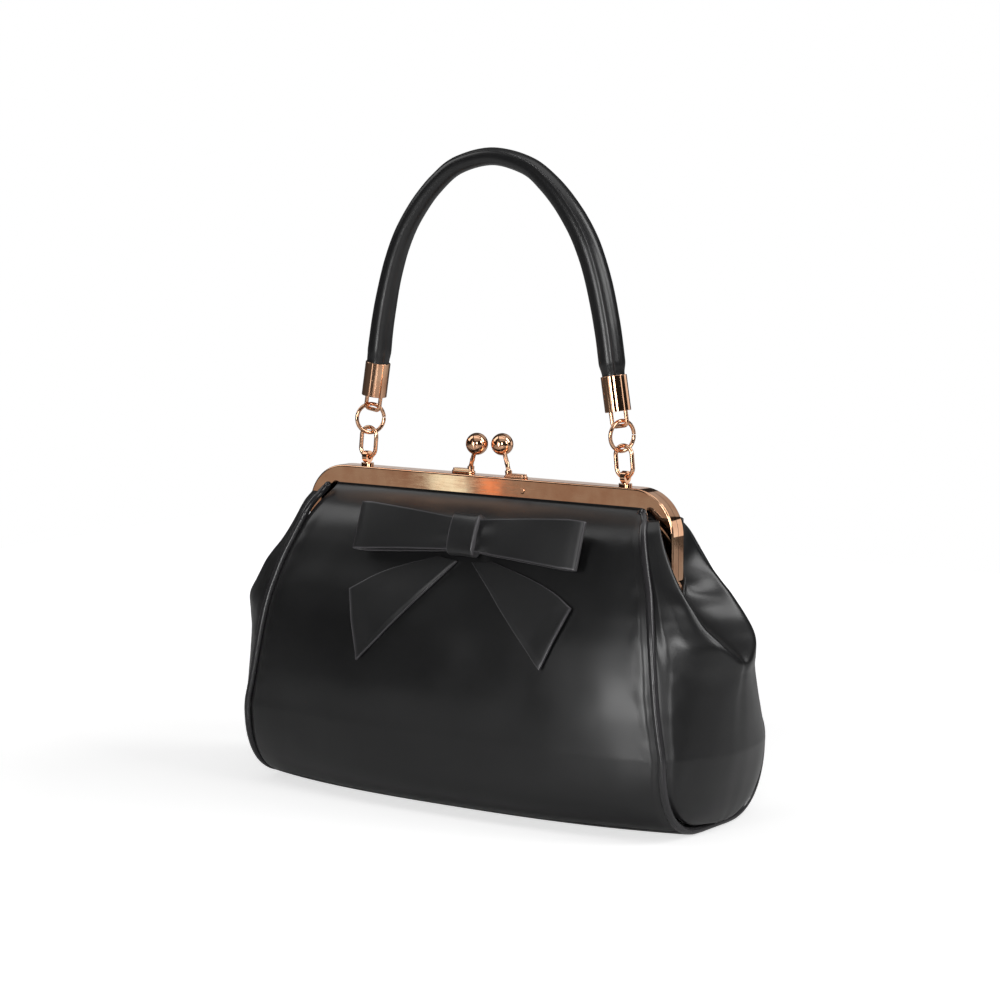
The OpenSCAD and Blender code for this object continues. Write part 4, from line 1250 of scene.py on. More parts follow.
        def place(share: float, v: float) -> Vector:
            """Point of the gusset with the hide's hollows and puckers along its normal."""
            u = share * (1 + self.tuck)
            p = smooth(u, v)
            step = 0.01
            du = smooth(u + step, v) - smooth(max(0, u - step), v)
            dv = smooth(u, min(1, v + step)) - smooth(u, max(0, v - step))
            out = du.cross(dv).normalized()
            if out.x < 0:
                out = -out
            free = mix(self.valley_calm, 1, 1 - ease(*self.valley_run, u))
            free *= 1 - self.corner_calm * ease(0.86, 1, v)
            free *= 1 - ease(0.85, 1, u)
            under = self.dip * ease(1 + self.tuck / 3, 1 + self.tuck, u)
            p = p + out * (self.relief(p, u * self.half_girth) * free - under)
            return Vector((end.value * p.x, p.y, p.z))

        def wear(u: float, v: float) -> float:
            """Wear along the end seam."""
            return 1 - ease(0.03, 0.16, u)

        flip = (side is Side.REAR) == (end is End.RIGHT)
        name = f"{end.word}_gusset_leather_{side.word}"
        piece = Grid(name, rows=150, columns=72, flip=flip).make(place, wear)
        thicken(piece, form.leather)
        dress(piece, self.finishes.shell, Slot.LEATHER)
        side.half
        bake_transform(piece)
        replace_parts(piece, f"{end.word}_gusset", f"{end.word}_gusset_{side.word}_flex")
        return piece


@dataclass
class Welts:
    """Piping sewn into the two end seams, in a front and a rear length each.

    Attributes:
        form: Sizes and surfaces of the shell.
        finishes: Materials.
        pinch: Depth of the small creases where the piping goes round a bend.
        pinch_wave: Spacing of the creases.
        flat: How much it is flattened by the seam, as a share.
        tip: How far its top bends in under the frame's corner, to the side and up.
        cut_tip: How far its cut end runs on from there.
        worn: How worn the piping is at its sides.
        upper_shares: Heights of the seam's points over the split line, as shares of its run there.
        lower_shares: The same from the split line down, closer where the seam turns under the bag.
    """

    form: ShellForm
    finishes: Finishes
    pinch: float = 0.1
    pinch_wave: float = 4.2
    flat: float = 0.1
    tip: tuple[float, float, float] = (-0.8, 0.9, 0.4)
    cut_tip: tuple[float, float, float] = (-0.9, 0.6, 1.1)
    worn: float = 0.6
    upper_shares: tuple[float, ...] = (1, 0.93, 0.85, 0.72, 0.55, 0.35, 0.17)
    lower_shares: tuple[float, ...] = (
        1, 0.86, 0.72, 0.58, 0.46, 0.36, 0.27, 0.19, 0.12, 0.065, 0.025, 0.005, 0,
    )

    def line(self, side: Side) -> list[Vector]:
        """Lists points of the right seam from its top to the middle of the base.

        Args:
            side: Front or rear seam.

        Returns:
            The points.
        """
        form = self.form
        points = [form.seam_point(side, mix(form.flex_z, form.welt_top, s)) for s in self.upper_shares]
        points += [form.seam_point(side, mix(form.welt_r, form.flex_z, s)) for s in self.lower_shares]
        turn = Matrix.Diagonal((1, side.value, 1))
        points[0] += turn @ Vector(self.tip)
        points.insert(0, points[0] + turn @ Vector(self.cut_tip))
        foot = points[-1]
        points += [Vector((foot.x, mix(foot.y, form.middle_y, s), foot.z)) for s in (0.5, 1)]
        return points

    def build(self) -> list[bpy.types.Object]:
        """Builds the four lengths.

        Returns:
            The pieces.
        """
        return [self.length(end, side) for end in End for side in Side]

    def length(self, end: End, side: Side) -> bpy.types.Object:
        """Builds one length of piping.

        Args:
            end: Left or right end.
            side: Front or rear seam.

        Returns:
            The piece.
        """
        form, line = self.form, self.line(side)
        spans = len(line) - 1

        def place(u: float, v: float) -> Vector:
            """Point of the tube round the seam, u round it and v along it."""
            p = bend(line, v * spans)
            along = heading(line, v * spans)
            out = Vector((1, 0, 0))
            beside = along.cross(out).normalized()
            angle = u * math.tau
            crease = self.pinch * max(0, ripple(p, self.pinch_wave, 5.5)) * max(0, math.cos(angle - 0.6))
            r = form.welt_r - crease
            thin = 1 - self.flat * abs(math.sin(angle))
            p = p + out * (r * math.cos(angle)) + beside * (r * thin * math.sin(angle))
            return Vector((end.value * p.x, p.y, p.z))

        def wear(u: float, v: float) -> float:
            """Wear, strongest on the side that faces out."""
            return self.worn + (1 - self.worn) * math.cos(u * math.tau)

        name = f"{end.word}_welt_leather_{side.word}"
        piece = Grid(name, rows=260, columns=20, closed=True, capped=True).make(place, wear)
        dress(piece, self.finishes.welt, Slot.WELT)
        side.half
        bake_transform(piece)
        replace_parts(piece, f"{end.word}_welt", f"{end.word}_welt_{side.word}_flex")
        return piece


@dataclass
class Lining:
    """Cloth lining: front, rear and two ends, glued into the frame with the leather.

    Attributes:
        form: Sizes and surfaces of the shell.
        finishes: Materials.
        top_gap: How far its upper edge stays under the leather's.
        floor_in: How far its floor stays inside the piping's inset.
        floor_share: Share of a wall's rows that lie on the floor.
        crowd: How much closer its rows stand near the floor.
        fall: Height of the waves in the hanging cloth.
        fall_wave: Their length.
        end_rise: How far an end piece reaches up past the hinge line.
        end_in: How far an end piece lies inside the gusset.
        end_start: Place across the gusset where an end piece starts.
        end_depth: Its depth, as a share of the gusset's.
    """

    form: ShellForm
    finishes: Finishes
    top_gap: float = 3.0
    floor_in: float = 3.0
    floor_share: float = 0.1
    crowd: float = 1.6
    fall: float = 0.25
    fall_wave: float = 14.0
    end_rise: float = 22.0
    end_in: float = 2.6
    end_start: float = 0.08
    end_depth: float = 0.95

    @property
    def depth(self) -> float:
        """Distance of the lining's middle from the leather's middle."""
        return self.form.leather / 2 + self.form.lining_gap + self.form.lining / 2

    @property
    def low(self) -> float:
        """Height of the lining over the base board."""
        return self.form.leather + self.form.board + 3 * self.form.lining_gap + self.form.lining / 2

    def build(self) -> list[bpy.types.Object]:
        """Builds the lining.

        Returns:
            The pieces.
        """
        pieces = [self.wall(side) for side in Side]
        pieces += [self.end(end, side) for end in End for side in Side]
        return pieces

    def wall(self, side: Side) -> bpy.types.Object:
        """Builds the front or rear lining with its half of the floor.

        Args:
            side: Front or rear.

        Returns:
            The piece.
        """
        form = self.form
        top = form.flex_top - self.top_gap

        def place(u: float, v: float) -> Vector:
            """Point of the cloth: the floor over the first rows, then up the wall."""
            a = 2 * u - 1
            if v < self.floor_share:
                y = mix(form.middle_y, form.flat_y(side), v / self.floor_share)
                return Vector((a * (form.seam_x(self.low) - form.seam_inset - self.floor_in), y, self.low))
            up = (v - self.floor_share) / (1 - self.floor_share)
            z = mix(self.low, top, up**self.crowd)
            p = form.panel_point(side, z, a, self.depth, self.low)
            shy = 1 - (form.seam_inset + 1) / form.seam_x(z)
            fall = self.fall * ripple(p, self.fall_wave, 2.2)
            return Vector((p.x * shy, p.y + side.value * fall, p.z))

        name = f"{side.word}_lining_cloth"
        piece = Grid(name, rows=110, columns=110, flip=side is Side.REAR).make(place)
        thicken(piece, form.lining)
        dress(piece, self.finishes.lining, Slot.LINING)
        side.half
        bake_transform(piece)
        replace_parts(piece, "lining_body", f"lining_{side.word}_flex")
        return piece

    def end(self, end: End, side: Side) -> bpy.types.Object:
        """Builds the front or rear half of an end piece of the lining.

        Args:
            end: Left or right end.
            side: Front or rear half.

        Returns:
            The piece.
        """
        form = self.form
        low, top = form.gusset_low + self.low, form.flex_z + self.end_rise

        def place(u: float, v: float) -> Vector:
            """Point of the cloth, a little inside the gusset."""
            z = mix(low, top, v)
            p = form.gusset_point(side, z, mix(self.end_start, 1, u))
            shrink = 1 - self.end_in / p.x
            return Vector((end.value * p.x * shrink, p.y * self.end_depth, z))

        flip = (side is Side.REAR) == (end is End.RIGHT)
        piece = Grid(f"{end.word}_end_lining_{side.word}", rows=60, columns=24, flip=flip).make(place)
        thicken(piece, form.lining)
        dress(piece, self.finishes.lining, Slot.LINING)
        side.half
        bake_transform(piece)
        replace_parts(piece, f"{end.word}_lining_end")
        return piece


@dataclass
class Bow:
    """Flat bow: two loops and a knot stitched on the front panel, and two tails below.

    The tables of shares give the path of a loop's band, and the inner and outer edge of a tail.

    Attributes:
        form: Sizes and surfaces of the shell.
        finishes: Materials.
        x: Place of the knot along the bag.
        z: Height of the knot.
        tilt: How far the bow leans back with the panel, in degrees.
        half: Distance from the knot's middle to a loop's fold.
        loop_h: Height of a loop at its fold.
        loop_d: Depth of a loop.
        thick: Thickness of the folded hide.
        knot_half: Half the knot's width.
        knot_half_h: Half the knot's height.
        knot_half_d: Half the knot's depth.
        gap: Distance of the bow from the panel.
        tail: Length of a tail.
        left_drop: How much longer the left tail is.
        cut_r: Radius of a loop's cut edges.
        tail_cut_r: Radius of a tail's cut edges.
        square: How square the knot's section is, 1 for round.
        knot_rim: Share of the knot's half width over which its edges turn in.
        knot_turn: How far they turn in, as a share.
        knot_waist: How much narrower the knot is in its middle, as a share.
        knot_sag: How far its front sinks in.
        gathered: Height of a loop at the knot, as a share of the knot's.
        crown: How far a loop's front swells.
        pleat: Height of the pleats beside the knot.
        pleat_run: Share of a loop over which they fade.
        pleat_turn: Angle across the band in radians, which sets how many pleats there are.
        tip_curl: How far a tail's tip stands off the panel.
        side_curl: How far its inner edge does.
        tail_wave: Height of the waves in a tail.
        tail_wave_run: Their length.
    """

    form: ShellForm
    finishes: Finishes
    x: float = 7.5
    z: float = 147.0
    tilt: float = 20.0
    half: float = 72.0
    loop_h: float = 26.0
    loop_d: float = 7.5
    thick: float = 1.4
    knot_half: float = 8.5
    knot_half_h: float = 11.5
    knot_half_d: float = 5.0
    gap: float = 0.4
    tail: float = 70.0
    left_drop: float = 9.0
    cut_r: float = 0.4
    tail_cut_r: float = 0.35
    square: float = 0.62
    knot_rim: float = 0.07
    knot_turn: float = 0.1
    knot_waist: float = 0.03
    knot_sag: float = 0.25
    gathered: float = 0.75
    crown: float = 0.35
    pleat: float = 0.3
    pleat_run: float = 0.3
    pleat_turn: float = 5.2
    tip_curl: float = 0.9
    side_curl: float = 0.4
    tail_wave: float = 0.25
    tail_wave_run: float = 16.0
    loop_run: tuple[float, ...] = (0, 0.25, 0.5, 0.75, 0.93, 1, 0.93, 0.75, 0.5, 0.25, 0)
    loop_out: tuple[float, ...] = (0.2, 0.15, 0.12, 0.12, 0.2, 0.5, 0.8, 0.95, 1, 0.9, 0.75)
    in_x: tuple[float, ...] = (0.07, 0.3, 0.56, 0.84)
    in_z: tuple[float, ...] = (0, 0.21, 0.45, 0.71)
    out_x: tuple[float, ...] = (0.24, 0.56, 0.8, 1.02)
    out_z: tuple[float, ...] = (-0.02, 0.06, 0.14, 0.25)

    def build(self) -> list[bpy.types.Object]:
        """Builds the bow's five pieces.

        Returns:
            The pieces.
        """
        pieces = [self.loop(end) for end in End] + [self.knot()] + [self.tail_piece(end) for end in End]
        for piece in pieces:
            dress(piece, self.finishes.bow, Slot.LEATHER)
            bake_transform(piece)
        return pieces

    def on_panel(self, p: Vector) -> Vector:
        """Moves a point of the bow's own plane to the front panel.

        Args:
            p: Point across, along and out of the bow.

        Returns:
            The point in the bag's frame.
        """
        skin = self.form.leather / 2
        out = self.form.wall_y(Side.FRONT, self.z, skin, 0) - skin - self.gap
        turn = Matrix.Rotation(math.radians(90 - self.tilt), 4, "X")
        return Vector((self.x, out, self.z)) + turn @ p

    def loop(self, end: End) -> bpy.types.Object:
        """Builds one loop: a band folded at its outer end.

        Args:
            end: Left or right loop.

        Returns:
            The piece.
        """
        start = self.knot_half + self.form.sewn_gap - 2
        run = self.half - start
        line = [Vector((start + run * r, 0, self.loop_d * o)) for r, o in zip(self.loop_run, self.loop_out)]
        spans = len(line) - 1

        def place(u: float, v: float) -> Vector:
            """Point of the band, u along it and v across it."""
            p = bend(line, u * spans)
            share = (p.x - start) / run
            half = mix(self.knot_half_h * self.gathered, self.loop_h / 2, min(1.0, share * 1.15))
            across = 2 * v - 1
            crown = self.crown * (1 - across * across) * math.sin(math.pi * min(1, max(0, share)))
            front = ease(0.5, 0.6, u)
            pleat = self.pleat * (1 - ease(0, self.pleat_run, share)) * math.cos(across * self.pleat_turn)
            lift = self.thick / 2 + front * (crown + pleat)
            return self.on_panel(Vector((end.value * p.x, half * across, p.z + lift)))

        def wear(u: float, v: float) -> float:
            """Wear at the fold and along the cut edges, which the bow's pale colour turns into a painted
            highlight.
            """
            fold = math.exp(-(((u - 0.5) / 0.04) ** 2))
            return max(0.6 * fold, 1 - ease(0, 0.018, min(v, 1 - v)))

        name = f"{end.word}_bow_loop"
        piece = Grid(name, rows=26, columns=150, flip=end is End.RIGHT).make(place, wear)
        thicken(piece, self.thick, rim=self.cut_r)
        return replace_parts(piece, f"bow_{end.word}_loop")

    def knot(self) -> bpy.types.Object:
        """Builds the strap that is wrapped round the middle.

        Returns:
            The piece.
        """

        def place(u: float, v: float) -> Vector:
            """Point of the strap, u round it and v across it."""
            angle = u * math.tau
            along = 2 * v - 1
            edge = 1 - self.knot_turn * max(0.0, abs(along) - (1 - self.knot_rim)) / self.knot_rim
            waist = 1 - self.knot_waist * (1 - along * along)
            c, s = math.cos(angle), math.sin(angle)
            y = self.knot_half_h * math.copysign(abs(c) ** self.square, c) * edge * waist
            z = self.knot_half_d * (1 + math.copysign(abs(s) ** self.square, s) * edge)
            sag = -self.knot_sag * (1 - along * along) * max(0.0, s)
            return self.on_panel(Vector((self.knot_half * along, y, z + sag)))

        def wear(u: float, v: float) -> float:
            """Wear along the strap's two edges, which the bow's pale colour turns into a painted highlight.
            """
            return 1 - ease(0, 0.08, min(v, 1 - v))

        piece = Grid("bow_knot_strap", rows=40, columns=64, closed=True, capped=True).make(place, wear)
        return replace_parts(piece, "bow_knot")

    def tail_piece(self, end: End) -> bpy.types.Object:
        """Builds one tail, lying on the front panel down to its slanted cut.

        Args:
            end: Left or right tail.

        Returns:
            The piece.
        """
        drop = self.left_drop if end is End.LEFT else 0.0
        lift = (self.form.leather / 2 + self.gap + self.thick / 2) * 1.15
        top = self.z - self.knot_half_h * math.cos(math.radians(self.tilt)) - 4 * self.gap
        inner = [Vector((x, 0, z)) for x, z in zip(self.in_x, self.in_z)]
        outer = [Vector((x, 0, z)) for x, z in zip(self.out_x, self.out_z)]
        spans = len(inner) - 1

        def place(u: float, v: float) -> Vector:
            """Point of the tail, u across it and v down it."""
            share = bend(inner, v * spans).lerp(bend(outer, v * spans), u)
            x = self.x + end.value * self.tail * share.x
            z = top - (self.tail + drop) * share.z
            wall = self.form.panel_point(Side.FRONT, z, x / self.form.seam_x(z)).y
            curl = self.tip_curl * ease(0.8, 1.0, v) + self.side_curl * (1 - ease(0, 0.12, u))
            curl += self.tail_wave * ripple(Vector((x, 0, z)), self.tail_wave_run, 4.4)
            return Vector((x, wall - lift - curl, z))

        def wear(u: float, v: float) -> float:
            """Wear along the cut edges, which the bow's pale colour turns into a painted highlight."""
            return 1 - ease(0, 0.024, min(u, 1 - u, 1 - v))

        name = f"{end.word}_bow_tail"
        piece = Grid(name, rows=60, columns=44, flip=end is End.RIGHT).make(place, wear)
        thicken(piece, self.thick, rim=self.tail_cut_r)
        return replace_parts(piece, f"bow_{end.word}_tail")


@dataclass
class Handle:
    """Round handle: a leather cover lapped along its inner side over a cord.

    The two tables of shares give the right limb's centre line from the ferrule to the apex.

    Attributes:
        form: Sizes and surfaces of the shell.
        finishes: Materials.
        chain_y: Depth at which the handle hangs.
        foot_x: Distance of a ferrule's foot from the middle.
        foot_z: Height of a ferrule's foot.
        lean: How far the ferrules lean in, in degrees.
        floor: Thickness of a ferrule's floor.
        seat: Distance of the cover's end from it.
        ferrule: Length of a ferrule.
        end_r: Radius of the cover in a ferrule.
        left_r: Radius of the left limb above the ferrule.
        right_r: Radius of the right limb above the ferrule.
        apex_r: Radius at the apex.
        rise: Height of the apex over the ferrules' feet.
        lap: Step of the lapped edge.
        lap_run: Share of the girth over which the step falls.
        lap_fade: Share of the step that the girth takes back.
        lap_turn: Place of the lap round the cover, in degrees from its inner side.
        pad: Height of the uneven places over the cord.
        pad_wave: Their length.
        taper_power: How late the right limb gets thinner towards the apex.
        neck_run: Heights from a ferrule's top between which the cover swells out.
        worn_run: Share of the girth on either side of the lap that is worn.
    """

    form: ShellForm
    finishes: Finishes
    chain_y: float = 2.875
    foot_x: float = 80.08
    foot_z: float = 215.68
    lean: float = 9.1
    floor: float = 1.2
    seat: float = 3.0
    ferrule: float = 18.8
    end_r: float = 6.1
    left_r: float = 6.8
    right_r: float = 7.2
    apex_r: float = 4.9
    rise: float = 131.8
    lap: float = 0.4
    lap_turn: float = 52.0
    lap_run: float = 0.045
    lap_fade: float = 0.8
    pad: float = 0.07
    pad_wave: float = 9.0
    taper_power: int = 4
    neck_run: tuple[float, float] = (-0.5, 6.0)
    worn_run: float = 0.03
    x_shares: tuple[float, ...] = (0.915, 0.84, 0.742, 0.608, 0.45, 0.275, 0)
    z_shares: tuple[float, ...] = (0.329, 0.519, 0.671, 0.795, 0.895, 0.965, 1)

    def line(self) -> list[Vector]:
        """Lists the centre line from the right ferrule over the apex to the left one.

        Returns:
            The points.
        """
        way = Vector((-math.sin(math.radians(self.lean)), 0, math.cos(math.radians(self.lean))))
        base = Vector((self.foot_x, self.chain_y, self.foot_z))
        foot, neck = base + way * (self.floor + self.seat), base + way * (self.ferrule + 1)
        right = [foot, (foot + neck) / 2, neck]
        right += [
            Vector((x * self.foot_x, self.chain_y, self.foot_z + z * self.rise))
            for x, z in zip(self.x_shares, self.z_shares)
        ]
        return right + [Vector((-p.x, p.y, p.z)) for p in right[-2::-1]]

    def build(self) -> list[bpy.types.Object]:
        """Builds the cover.

        Returns:
            The pieces.
        """
        line = self.line()
        spans = len(line) - 1
        neck_z = line[2].z
        top = self.foot_z + self.rise

        def radius(p: Vector) -> float:
            """Radius at a point of the centre line, drawn in at the ferrules."""
            s = min(1.0, max(0.0, (p.z - neck_z) / (top - neck_z)))
            limb_r, share = (self.left_r, s) if p.x < 0 else (self.right_r, s**self.taper_power)
            full = mix(limb_r, self.apex_r, share)
            return mix(self.end_r, full, ease(*self.neck_run, p.z - neck_z))

        def place(u: float, v: float) -> Vector:
            """Point of the cover, u round it from the lap and v along it."""
            p = bend(line, v * spans)
            along = heading(line, v * spans)
            back = Vector((0, 1, 0))
            inward = along.cross(back).normalized() * -1
            angle = u * math.tau
            step = self.lap * (1 - ease(0, self.lap_run, u)) + self.lap * self.lap_fade * u
            r = radius(p) - self.lap * 0.5 + step * 0.5 + self.pad * ripple(p, self.pad_wave, 6.1)
            swing = angle - math.radians(self.lap_turn)
            return p + inward * (r * math.cos(swing)) + back * (r * math.sin(swing))

        def wear(u: float, v: float) -> float:
            """Wear along the lap."""
            return 1 - ease(0, self.worn_run, min(u, 1 - u))

        name = "handle_cover_leather"
        piece = Grid(name, rows=420, columns=56, closed=True, capped=True).make(place, wear)
        dress(piece, self.finishes.handle, Slot.LEATHER)
        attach(piece, "handle")
        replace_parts(piece, "handle_cover")
        return [piece]


@dataclass(frozen=True)
class Fitting:
    """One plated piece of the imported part.

    Attributes:
        node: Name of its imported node.
        body: Body that it rides on.
        edge: Radius of its rounded edges in millimetres, 0 where it is all wire or ball.
    """

    node: str
    body: str
    edge: float

    @property
    def is_wire(self) -> bool:
        """Whether it is bent wire or turned from rod, which is polished less than the frame."""
        return self.node.endswith(("link", "ring", "bail", "ball", "post"))


def fittings() -> list[Fitting]:
    """Lists the plated pieces: a front and a rear one, then a left and a right one, of each kind.

    Returns:
        The pieces, with the body that each rides on.
    """
    frame_kinds = (("frame", 0.35), ("clasp_foot", 0.3), ("ball", 0.0), ("foot_rivet", 0.15))
    end_kinds = (
        ("hinge_pin", "body", 0.25), ("post", "rear_half", 0.3), ("link", "{}_link_body", 0.0),
        ("ring", "{}_ring_body", 0.0), ("bail", "handle", 0.0), ("ferrule", "handle", 0.2),
    )
    pieces = [Fitting(f"{side.word}_{kind}", side.half, edge) for kind, edge in frame_kinds for side in Side]
    for kind, body, edge in end_kinds:
        pieces += [Fitting(f"{end.word}_{kind}", body.format(end.word), edge) for end in End]
    return pieces


@dataclass
class Hardware:
    """Plated steel frame, clasp and chain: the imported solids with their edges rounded.

    Attributes:
        nodes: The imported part's objects by node.
        finishes: Materials.
        rim: Radius of the frame's outer rim, where the band turns over to the top.
        rim_steps: Segments of that rounding.
        corner_x: Distance from the middle past which the rim turns down the frame's corner.
        face_y: Least depth of the rim's edges, just inside the frame half's flat face.
        weld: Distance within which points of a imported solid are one.
        flat_angle: Angle in degrees under which its triangles are one flat face.
        edge_angle: Least angle in degrees of an edge that is rounded.
    """

    nodes: dict[str, bpy.types.Object]
    finishes: Finishes
    rim: float = 1.0
    rim_steps: int = 5
    corner_x: float = 90.0
    face_y: float = 5.3
    weld: float = 0.002
    flat_angle: float = 0.4
    edge_angle: float = 32.0

    def build(self) -> list[bpy.types.Object]:
        """Builds every metal piece.

        Returns:
            The pieces.
        """
        return [self.polished(fitting) for fitting in fittings()]

    def polished(self, fitting: Fitting) -> bpy.types.Object:
        """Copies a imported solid, joins its loose triangles and rounds its edges.

        Args:
            fitting: The plated piece.

        Returns:
            The piece.
        """
        sharp = math.radians(self.edge_angle)
        bm = bmesh.new()
        bm.from_mesh(self.nodes[fitting.node].data)
        bmesh.ops.remove_doubles(bm, verts=bm.verts, dist=self.weld * MM)
        bmesh.ops.dissolve_limit(
            bm, angle_limit=math.radians(self.flat_angle), verts=bm.verts, edges=bm.edges,
            use_dissolve_boundaries=False,
        )
        if fitting.node.endswith("_frame"):
            turned = [edge for edge in bm.edges if self.is_rim(edge)]
            bmesh.ops.bevel(
                bm, geom=turned, offset=self.rim * MM, segments=self.rim_steps, profile=0.5,
                affect="EDGES", clamp_overlap=False, material=-1,
            )
        for edge in bm.edges:
            edge.smooth = len(edge.link_faces) == 2 and edge.calc_face_angle(0) < sharp
        piece = finished(f"{fitting.node}_plated", bm)
        if fitting.edge:
            round_off = piece.modifiers.new("rounded edge", "BEVEL")
            round_off.width = fitting.edge * MM
            round_off.segments = EDGE_STEPS
            round_off.limit_method = "ANGLE"
            round_off.angle_limit = sharp
            level = piece.modifiers.new("flat faces", "WEIGHTED_NORMAL")
            level.keep_sharp = True
        dress(piece, self.finishes.wire if fitting.is_wire else self.finishes.frame, Slot.METAL)
        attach(piece, fitting.body)
        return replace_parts(piece, fitting.node)

    def is_rim(self, edge: bmesh.types.BMEdge) -> bool:
        """Tells whether an edge lies between a frame half's flat face and its outer side.

        Args:
            edge: An edge of the frame half.

        Returns:
            True on the outer rim.
        """
        if len(edge.link_faces) != 2:
            return False
        flat, side = sorted(edge.link_faces, key=lambda face: -abs(face.normal.y))
        middle = (edge.verts[0].co + edge.verts[1].co) / 2 / MM
        past_corner = abs(middle.x) > self.corner_x
        away = Vector((math.copysign(1, middle.x), 0, 1)) if past_corner else Vector((0, 0, 1))
        faces_front = abs(flat.normal.y) > 0.95 and abs(side.normal.y) < 0.2
        return faces_front and side.normal.dot(away) > 0.5 and abs(middle.y) > self.face_y


@dataclass(frozen=True)
class Lamp:
    """One soft box.

    Attributes:
        name: Name of the lamp.
        azimuth: Direction it stands in, 0 in front of the bag and 90 to its right, in degrees.
        elevation: Height above the horizon in degrees.
        distance: Distance from the bag's middle in metres.
        size: Width and height in metres.
        power: Power in watts.
        colour: sRGB hex colour.
        for_metal: Whether it is a card that only the plated pieces reflect.
    """

    name: str
    azimuth: float
    elevation: float
    distance: float
    size: tuple[float, float]
    power: float
    colour: str = "#ffffff"
    for_metal: bool = False


@dataclass
class Studio:
    """Camera, soft boxes, white surroundings and a pale floor, in metres.

    Attributes:
        aim: Point that every lamp is turned to.
        eye: Place of the camera.
        way: Direction in which it looks.
        focal: Focal length in millimetres.
        sensor: Width of the sensor in millimetres.
        near_clip: Nearest distance that the camera sees.
        far_clip: Furthest distance that it sees.
        floor_half: Half the side of the floor.
        floor_drop: How far the floor lies under the bag.
        paper: Colour of the floor.
        glow: Light of the floor to the camera, near the bag and at the fade's end.
        fade: Distances from the bag between which the floor fades to white.
        surroundings: Greys round the bag by height, from the nadir to the zenith.
        dim: Strength of the surroundings.
        lamps: Soft boxes, then the cards that only the metal reflects.
    """

    aim: Vector = field(default_factory=lambda: Vector((0.0, 0.01, 0.15)))
    eye: Vector = field(default_factory=lambda: Vector((0.922745, -1.308080, 0.365486)))
    way: Vector = field(default_factory=lambda: Vector((-0.56907, 0.81271, -0.12514)))
    focal: float = 107.88
    sensor: float = 36.0
    near_clip: float = 0.05
    far_clip: float = 50.0
    floor_half: float = 0.9
    floor_drop: float = 0.0003
    paper: str = "#d8d8d8"
    glow: tuple[float, float] = (0.66, 1.0)
    fade: tuple[float, float] = (0.25, 0.8)
    surroundings: tuple[tuple[float, str], ...] = (
        (0.0, "#565656"), (0.47, "#646464"), (0.52, "#262524"), (0.7, "#3c3c3c"), (1.0, "#707070"),
    )
    dim: float = 0.7
    lamps: tuple[Lamp, ...] = (
        Lamp("front_box", -2, 6, 1.6, (0.28, 0.65), 6.5),
        Lamp("camera_box", 32, 13, 1.7, (0.3, 0.45), 6),
        Lamp("side_box", 84, 24, 1.7, (0.35, 0.6), 5),
        Lamp("left_box", -70, 40, 1.5, (0.6, 1.0), 3.5),
        Lamp("right_box", 112, 38, 1.5, (0.45, 1.1), 8),
        Lamp("top_box", 30, 85, 1.4, (1.3, 0.9), 4),
        Lamp("rear_left_card", -145, 8, 1.6, (1.0, 0.5), 0.9, for_metal=True),
        Lamp("rear_right_card", 150, 4, 1.6, (0.9, 0.6), 1.6, for_metal=True),
        Lamp("rear_top_card", 172, 38, 1.6, (1.3, 1.1), 1.8, for_metal=True),
        Lamp("front_card", 40, 55, 1.5, (1.6, 0.9), 1.8, for_metal=True),
        Lamp("left_strip", -16, 12, 1.5, (0.16, 1.0), 0.8, for_metal=True),
        Lamp("right_strip", 94, 12, 1.5, (0.2, 1.0), 0.9, for_metal=True),
        Lamp("band_card", -34.7, -5.4, 0.917, (0.34, 0.1), 0.027, "#fff2e6", for_metal=True),
        Lamp("band_glint", -36.6, -5.3, 0.939, (0.0304, 0.1), 0.012, "#cffaff", for_metal=True),
        Lamp("band_warm_glint", -34.4, -5.4, 0.914, (0.0167, 0.1), 0.0034, "#ff8c00", for_metal=True),
    )

    def build(self) -> None:
        """Builds the camera, the lamps, the world and the floor."""
        self.camera()
        for lamp in self.lamps:
            self.lamp(lamp)
        self.world()
        self.floor()
        bpy.context.scene.view_settings.view_transform = "Standard"

    def camera(self) -> None:
        """Builds the camera at the photograph's angle."""
        data = bpy.data.cameras.new("camera")
        data.lens, data.sensor_width = self.focal, self.sensor
        data.clip_start, data.clip_end = self.near_clip, self.far_clip
        camera = bpy.data.objects.new("camera", data)
        camera.location = self.eye
        camera.rotation_euler = self.way.to_track_quat("-Z", "Y").to_euler()
        bpy.context.scene.collection.objects.link(camera)
        bpy.context.scene.camera = camera

    def lamp(self, lamp: Lamp) -> None:
        """Builds one soft box, aimed at the bag's middle.

        Args:
            lamp: Its place, size and light.
        """
        data = bpy.data.lights.new(lamp.name, "AREA")
        data.shape, data.size, data.size_y = "RECTANGLE", *lamp.size
        data.energy = lamp.power
        data.color = linear(lamp.colour)[:3]
        a, e = math.radians(lamp.azimuth), math.radians(lamp.elevation)
        back = Vector((math.sin(a) * math.cos(e), -math.cos(a) * math.cos(e), math.sin(e)))
        box = bpy.data.objects.new(lamp.name, data)
        box.location = self.aim + back * lamp.distance
        box.visible_camera = False
        if lamp.for_metal:
            box.light_linking.receiver_collection = self.plated_pieces()
        box.rotation_euler = (-back).to_track_quat("-Z", "Y").to_euler()
        bpy.context.scene.collection.objects.link(box)

    def plated_pieces(self) -> bpy.types.Collection:
        """Gathers the plated pieces, which the cards are linked to.

        Returns:
            Their collection, made at the first call.
        """
        found = bpy.data.collections.get("plated_pieces")
        if found:
            return found
        group = bpy.data.collections.new("plated_pieces")
        for piece in bpy.context.scene.objects:
            if piece.name.endswith("_plated"):
                group.objects.link(piece)
        return group

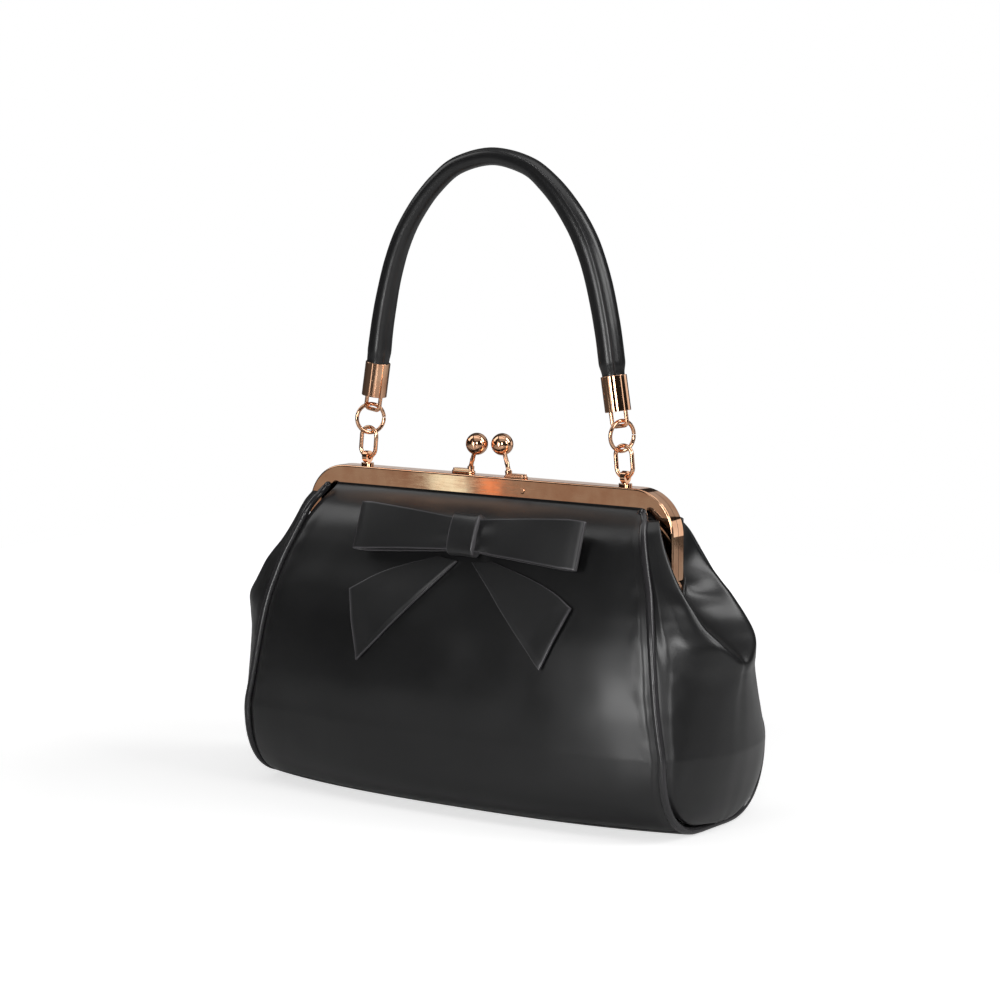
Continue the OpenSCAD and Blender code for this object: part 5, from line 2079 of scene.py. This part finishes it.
    def world(self) -> None:
        """White to the camera, softly graded surroundings to the object."""
        world = bpy.data.worlds.new("studio")
        bpy.context.scene.world = world
        world.use_nodes = True
        tree = world.node_tree
        tree.nodes.clear()
        way = add_node(tree, "ShaderNodeTexCoord").outputs["Generated"]
        parts = add_node(tree, "ShaderNodeSeparateXYZ", links={"Vector": way})
        height = add_node(
            tree, "ShaderNodeMapRange", values={"From Min": -1.0, "From Max": 1.0},
            links={"Value": parts.outputs["Z"]},
        )
        grade = add_node(
            tree, "ShaderNodeValToRGB", links={"Fac": height.outputs[0]},
            stops=self.surroundings,
        )
        around = add_node(
            tree, "ShaderNodeBackground", values={"Strength": self.dim},
            links={"Color": grade.outputs["Color"]},
        )
        white = add_node(tree, "ShaderNodeBackground", values={"Color": (1, 1, 1, 1), "Strength": 1.0})
        path = add_node(tree, "ShaderNodeLightPath")
        both = add_node(
            tree, "ShaderNodeMixShader",
            links={"Fac": path.outputs["Is Camera Ray"], 1: around.outputs[0], 2: white.outputs[0]},
        )
        add_node(tree, "ShaderNodeOutputWorld", links={"Surface": both.outputs[0]})

    def floor(self) -> None:
        """Builds a wide pale floor that keeps the bag's shadow."""
        bm = bmesh.new()
        bmesh.ops.create_grid(bm, x_segments=1, y_segments=1, size=self.floor_half)
        floor = finished("studio_floor", bm)
        floor.data.transform(Matrix.Translation((0, 0, -self.floor_drop)))
        material, tree, out = blank("matt_white_floor")
        path = add_node(tree, "ShaderNodeLightPath")
        paper = add_node(
            tree, "ShaderNodeBsdfPrincipled",
            values={"Base Color": linear(self.paper), "Roughness": 0.35, "Specular IOR Level": 0.3},
        )
        place = add_node(tree, "ShaderNodeTexCoord").outputs["Object"]
        away = add_node(tree, "ShaderNodeVectorMath", {"operation": "LENGTH"}, links={0: place})
        level = add_node(
            tree, "ShaderNodeMapRange",
            values={
                "From Min": self.fade[0], "From Max": self.fade[1],
                "To Min": self.glow[0], "To Max": self.glow[1],
            },
            links={"Value": away.outputs["Value"]},
        )
        seen = add_node(
            tree, "ShaderNodeMath", {"operation": "MULTIPLY"},
            links={0: path.outputs["Is Camera Ray"], 1: level.outputs["Result"]},
        )
        glow = add_node(
            tree, "ShaderNodeEmission", values={"Color": (1, 1, 1, 1)}, links={"Strength": seen.outputs[0]}
        )
        both = add_node(tree, "ShaderNodeAddShader", links={0: paper.outputs[0], 1: glow.outputs[0]})
        tree.links.new(both.outputs[0], out.inputs["Surface"])
        floor.data.materials.append(material)


def dress_hidden(nodes: dict[str, bpy.types.Object], finishes: Finishes) -> None:
    """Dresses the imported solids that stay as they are.

    Args:
        nodes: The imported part's objects by node.
        finishes: Materials.
    """
    choice = {
        "base_board": finishes.board, "handle_core": finishes.cord,
        "front_edge_cord": finishes.cord, "rear_edge_cord": finishes.cord,
    }
    for node, material in choice.items():
        nodes[node].data.materials.clear()
        nodes[node].data.materials.append(material)


def main() -> None:
    """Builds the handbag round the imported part, then the studio."""
    logging.basicConfig(level=logging.INFO, format="%(name)s: %(message)s")
    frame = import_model()
    form, finishes = ShellForm(), Finishes()
    makers = (
        LeatherShell(form, finishes), Welts(form, finishes), Lining(form, finishes), Bow(form, finishes),
        Handle(form, finishes), Hardware(frame["nodes"], finishes),
    )
    for maker in makers:
        for piece in maker.build():
            LOG.info("%s: %d faces", piece.name, len(piece.data.polygons))
    dress_hidden(frame["nodes"], finishes)
    Studio().build()
    bpy.context.view_layer.update()


if __name__ == "__main__":
    main()
